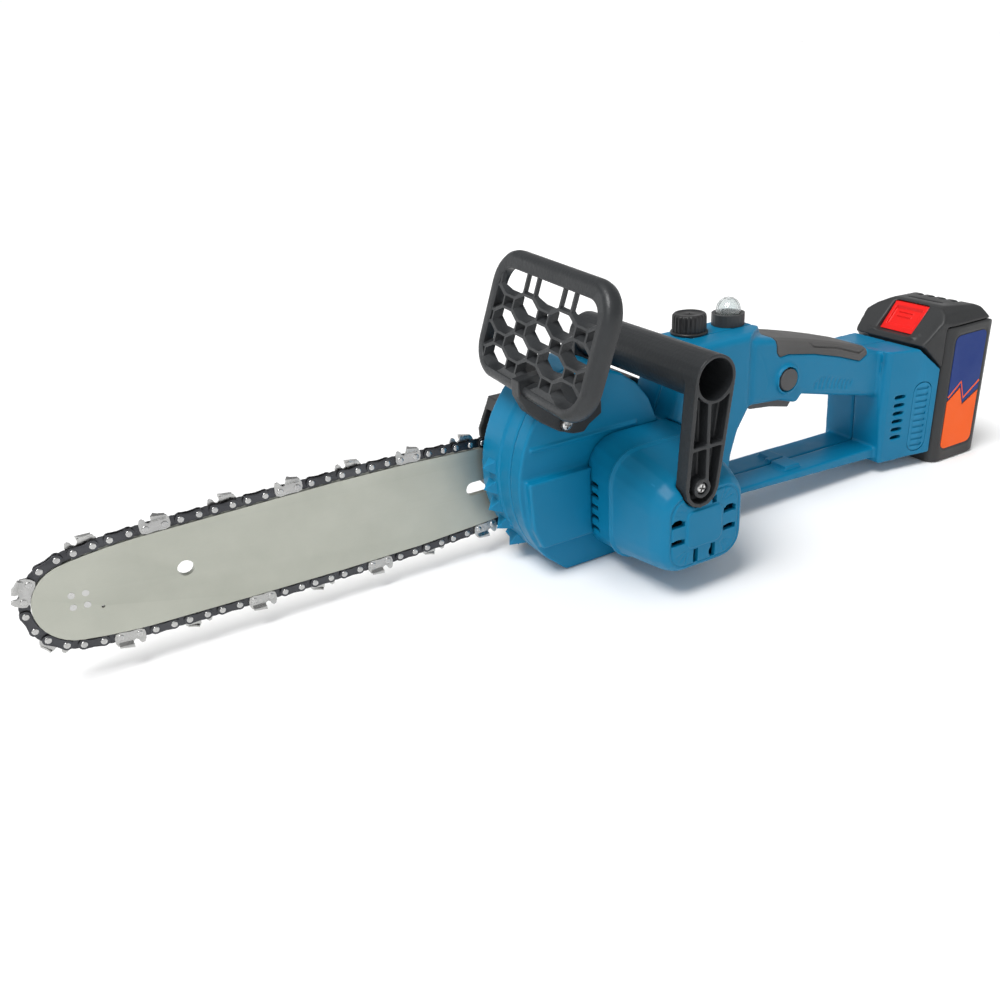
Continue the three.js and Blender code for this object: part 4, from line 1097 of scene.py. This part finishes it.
def latch():
    """The release button: a scooped face on a slope, with two finger ribs across it."""
    along, inward = Vector((0.642, 0.767)), Vector((0.767, -0.641))
    scoop = prism([(568, 52.2), (570.9, 52.8), (579.3, 62.2), (579.2, 65.3)], -51.7, -28.3)
    backing_outline = [(572.9, 52.5), (573.6, 52.5), (575.5, 55.4), (584, 55.4), (584, 57), (572.9, 57)]
    backing = prism(backing_outline, -54.6, -25.4)
    ribs = []
    for x, z in ((575.6, 58.1), (577.8, 60.7)):
        foot = Vector((x, z)) + inward * 0.6
        crest = Vector((x, z)) - inward * 0.9
        outline = [foot - along * 0.7, foot + along * 0.7, crest + along * 0.5, crest - along * 0.5]
        ribs.append(prism([tuple(p) for p in outline], -44, -32))
    shape = combine(copy_of("battery_latch"), [backing], "UNION")
    combine(shape, [scoop], "DIFFERENCE")
    combine(shape, [join(ribs)], "UNION")
    remeshed(shape, 0.35, 4)
    smooth_shaded(shape)
    piece(shape, "latch_button", RED, "battery_latch")
    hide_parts("battery_latch")


# ---- screws and small controls ------------------------------------------------------------------
def screw_head(name, node, x, z, radius, front, back, seat):
    """A domed screw head with a cross recess, down to its seat, and its shank."""
    rise = front - back
    bm = bmesh.new()
    rings = []
    for share, r in ((1, 0.35), (0.94, 0.7), (0.75, 0.9), (0.3, 1.0), (0, 1.0)):
        outline = circle(x, z, radius * r, 32)
        rings.append([bm.verts.new(at(a, back + rise * share, b)) for a, b in outline])
    rings.append([bm.verts.new(at(a, seat, b)) for a, b in circle(x, z, radius, 32)])
    skin(bm, rings)
    head = from_bmesh(bm)
    arm, half = radius * 0.62, radius * 0.17
    low, high = sorted((front + rise, front - rise * 0.55))
    for half_x, half_z in ((arm, half), (half, arm)):
        cut = box(x - half_x, x + half_x, low, high, z - half_z, z + half_z)
        combine(head, [turned_about(cut, (x, 0, z), "Y", 20)], "DIFFERENCE")
    shank_low, shank_high = sorted((seat + rise * 0.1, seat - rise * 3))
    combine(head, [rod(x, z, radius * 0.42, shank_low, shank_high, sides=20)], "UNION")
    piece(head, name, STEEL, "saw")
    bevelled(head, 0.12, 2)
    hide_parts(node)


def screws():
    screw_head("guard_screw_head", "guard_screw", *GUARD_SCREW, 3.8, -60.3, -57.6, -57.3)
    screw_head("leg_screw_head", "left_handle_screw", *LEG_SCREW, 3.6, -124.4, -121.4, -118.3)


def turned_profile(centre, profile, sides=64, flutes=0, flute_depth=0.0, fluted_beyond=0.0):
    """A solid of revolution about a vertical axis, with flutes in its wall beyond some radius."""
    bm = bmesh.new()
    rings = []
    for radius, z in profile:
        ring = []
        for i in range(sides):
            angle = 2 * math.pi * i / sides
            wave = 0.0
            if flutes and radius > fluted_beyond:
                wave = flute_depth * (0.5 - 0.5 * math.cos(angle * flutes))
            x = centre[0] + (radius - wave) * math.cos(angle)
            y = centre[1] + (radius - wave) * math.sin(angle)
            ring.append(bm.verts.new(at(x, y, z)))
        rings.append(ring)
    skin(bm, rings)
    return smooth_shaded(from_bmesh(bm))


def oil_cap():
    """The fluted knob of the oil cap, and the plain flange under it."""
    centre = (377, -30)
    top = [(10.4, 81.4), (11.3, 81.8), (11.3, 84.0), (11.25, 92.2), (11.0, 93.4), (10.2, 94.3), (8.6, 94.5)]
    top += [(7.9, 94.1), (0.6, 94.0), (0.2, 94.4)]
    skirt = [(12.2, 81.35), (12.3, 82.6), (11.4, 83.1), (3, 83.1)]
    knob = turned_profile(centre, top, 216, flutes=24, flute_depth=0.55, fluted_beyond=10.5)
    piece(knob, "cap_knob", CAP_BLACK, "oil_cap")
    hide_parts("oil_cap")
    flange = turned_profile(centre, skirt)
    piece(flange, "cap_flange", CAP_BLACK, "oil_cap")
    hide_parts("oil_cap")


def trigger_and_lock():
    moulding("trigger", "trigger_blade", CONTROL, "trigger", (0.4, 4, 0.5))
    moulding(
        "lock_off_button",
        "lock_button",
        CONTROL,
        "lock_off_button",
        fine=(0.3, 4, 0.5),
    )


def springs():
    """The three small return springs, copied as they stand and tied to their bodies."""
    coils = (
        ("latch_spring", "battery", "latch_press", (1, 0, 0), at(595.6, -40, 61.8), 0.2),
        ("lock_spring", "saw", "lock_off_press", (0, 1, 0), at(437, -47.3, 48.4), 0.17),
        ("trigger_spring", "saw", "trigger_pull", (0, 0, 1), at(448.5, -40, 39.2), 0.5),
    )
    for node, body, joint, axis, anchor, keep in coils:
        coil = smooth_shaded(copy_of(node))
        piece(coil, node.replace("spring", "coil"), STEEL, body)
        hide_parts(node)
        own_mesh(coil)


# ---- camera, light and floor --------------------------------------------------------------------
CAMERA_AT = (-13.7575, -498.7358, 252.6788)
CAMERA_TURN = (64.4965, 3.5222, -29.063)
FOCAL_LENGTH, SENSOR_WIDTH = 33.506, 36


def camera():
    """A camera to the left of the bar's nose and above it. Its turn is about x, y and z, in degrees."""
    lens = bpy.data.cameras.new("camera")
    lens.sensor_width = SENSOR_WIDTH
    lens.lens = FOCAL_LENGTH
    lens.clip_start = 0.01
    seen = new_object("camera", lens)
    turn = Euler([math.radians(angle) for angle in CAMERA_TURN]).to_matrix().to_4x4()
    seen.matrix_world = Matrix.Translation(at(*CAMERA_AT)) @ turn
    bpy.context.scene.camera = seen


def area_light(name, where, towards, size, power):
    """A round soft light that leaves no bright disc in glossy surfaces."""
    lamp = bpy.data.lights.new(name, "AREA")
    lamp.shape = "DISK"
    lamp.size = size
    lamp.energy = power
    held = new_object(name, lamp)
    held.location = where
    held.visible_glossy = False
    held.rotation_euler = (Vector(towards) - Vector(where)).to_track_quat("-Z", "Y").to_euler()


def sky():
    """A pale sweep: white at the horizon, where the floor meets it, and softer overhead."""
    world = bpy.data.worlds.new("studio")
    world.use_nodes = True
    nodes, links = world.node_tree.nodes, world.node_tree.links
    where = nodes.new("ShaderNodeTexCoord")
    split = nodes.new("ShaderNodeSeparateXYZ")
    strength = nodes.new("ShaderNodeMapRange")
    set_range(strength, start=0.06, end=0.3, low=1.04, high=0.34)
    links.new(where.outputs["Generated"], split.inputs["Vector"])
    links.new(split.outputs["Z"], strength.inputs["Value"])
    links.new(strength.outputs["Result"], nodes["Background"].inputs["Strength"])
    nodes["Background"].inputs["Color"].default_value = (1, 1, 1, 1)
    bpy.context.scene.world = world


def lights():
    """A broad sun from above the bar's nose, and two weak area lights."""
    sun = bpy.data.lights.new("key", "SUN")
    sun.energy = 2.7
    sun.angle = math.radians(28)
    key = new_object("key", sun)
    key.rotation_euler = Vector((-0.5, -0.12, 1)).to_track_quat("Z", "Y").to_euler()
    area_light("fill", (-0.9, -1.5, 0.7), (0, 0, 0.08), 1.2, 5)
    area_light("back", (0.5, 1.3, 1.1), (0, 0, 0.1), 1.2, 6)


def pale_floor():
    """A wide plain floor, a hair below the saw's feet."""
    finish = moulded_plastic(
        "floor", (0.95, 0.95, 0.95), (0.94, 0.94, 0.94), 0.8, grain=40, depth=0.02, gloss=0.1
    )
    bm = bmesh.new()
    bmesh.ops.create_grid(bm, x_segments=2, y_segments=2, size=40)
    floor = from_bmesh(bm, "floor")
    floor.location.z = -0.0004
    floor.data.materials.append(finish)


dress_cad()
chain()
bar_details()
left_casing()
right_casing()
motor_housing()
grip()
front_handle()
hand_guard()
battery()
latch()
oil_cap()
trigger_and_lock()
springs()
cover()
screws()
camera()
lights()
sky()
pale_floor()
bpy.context.scene.view_settings.view_transform = "Standard"
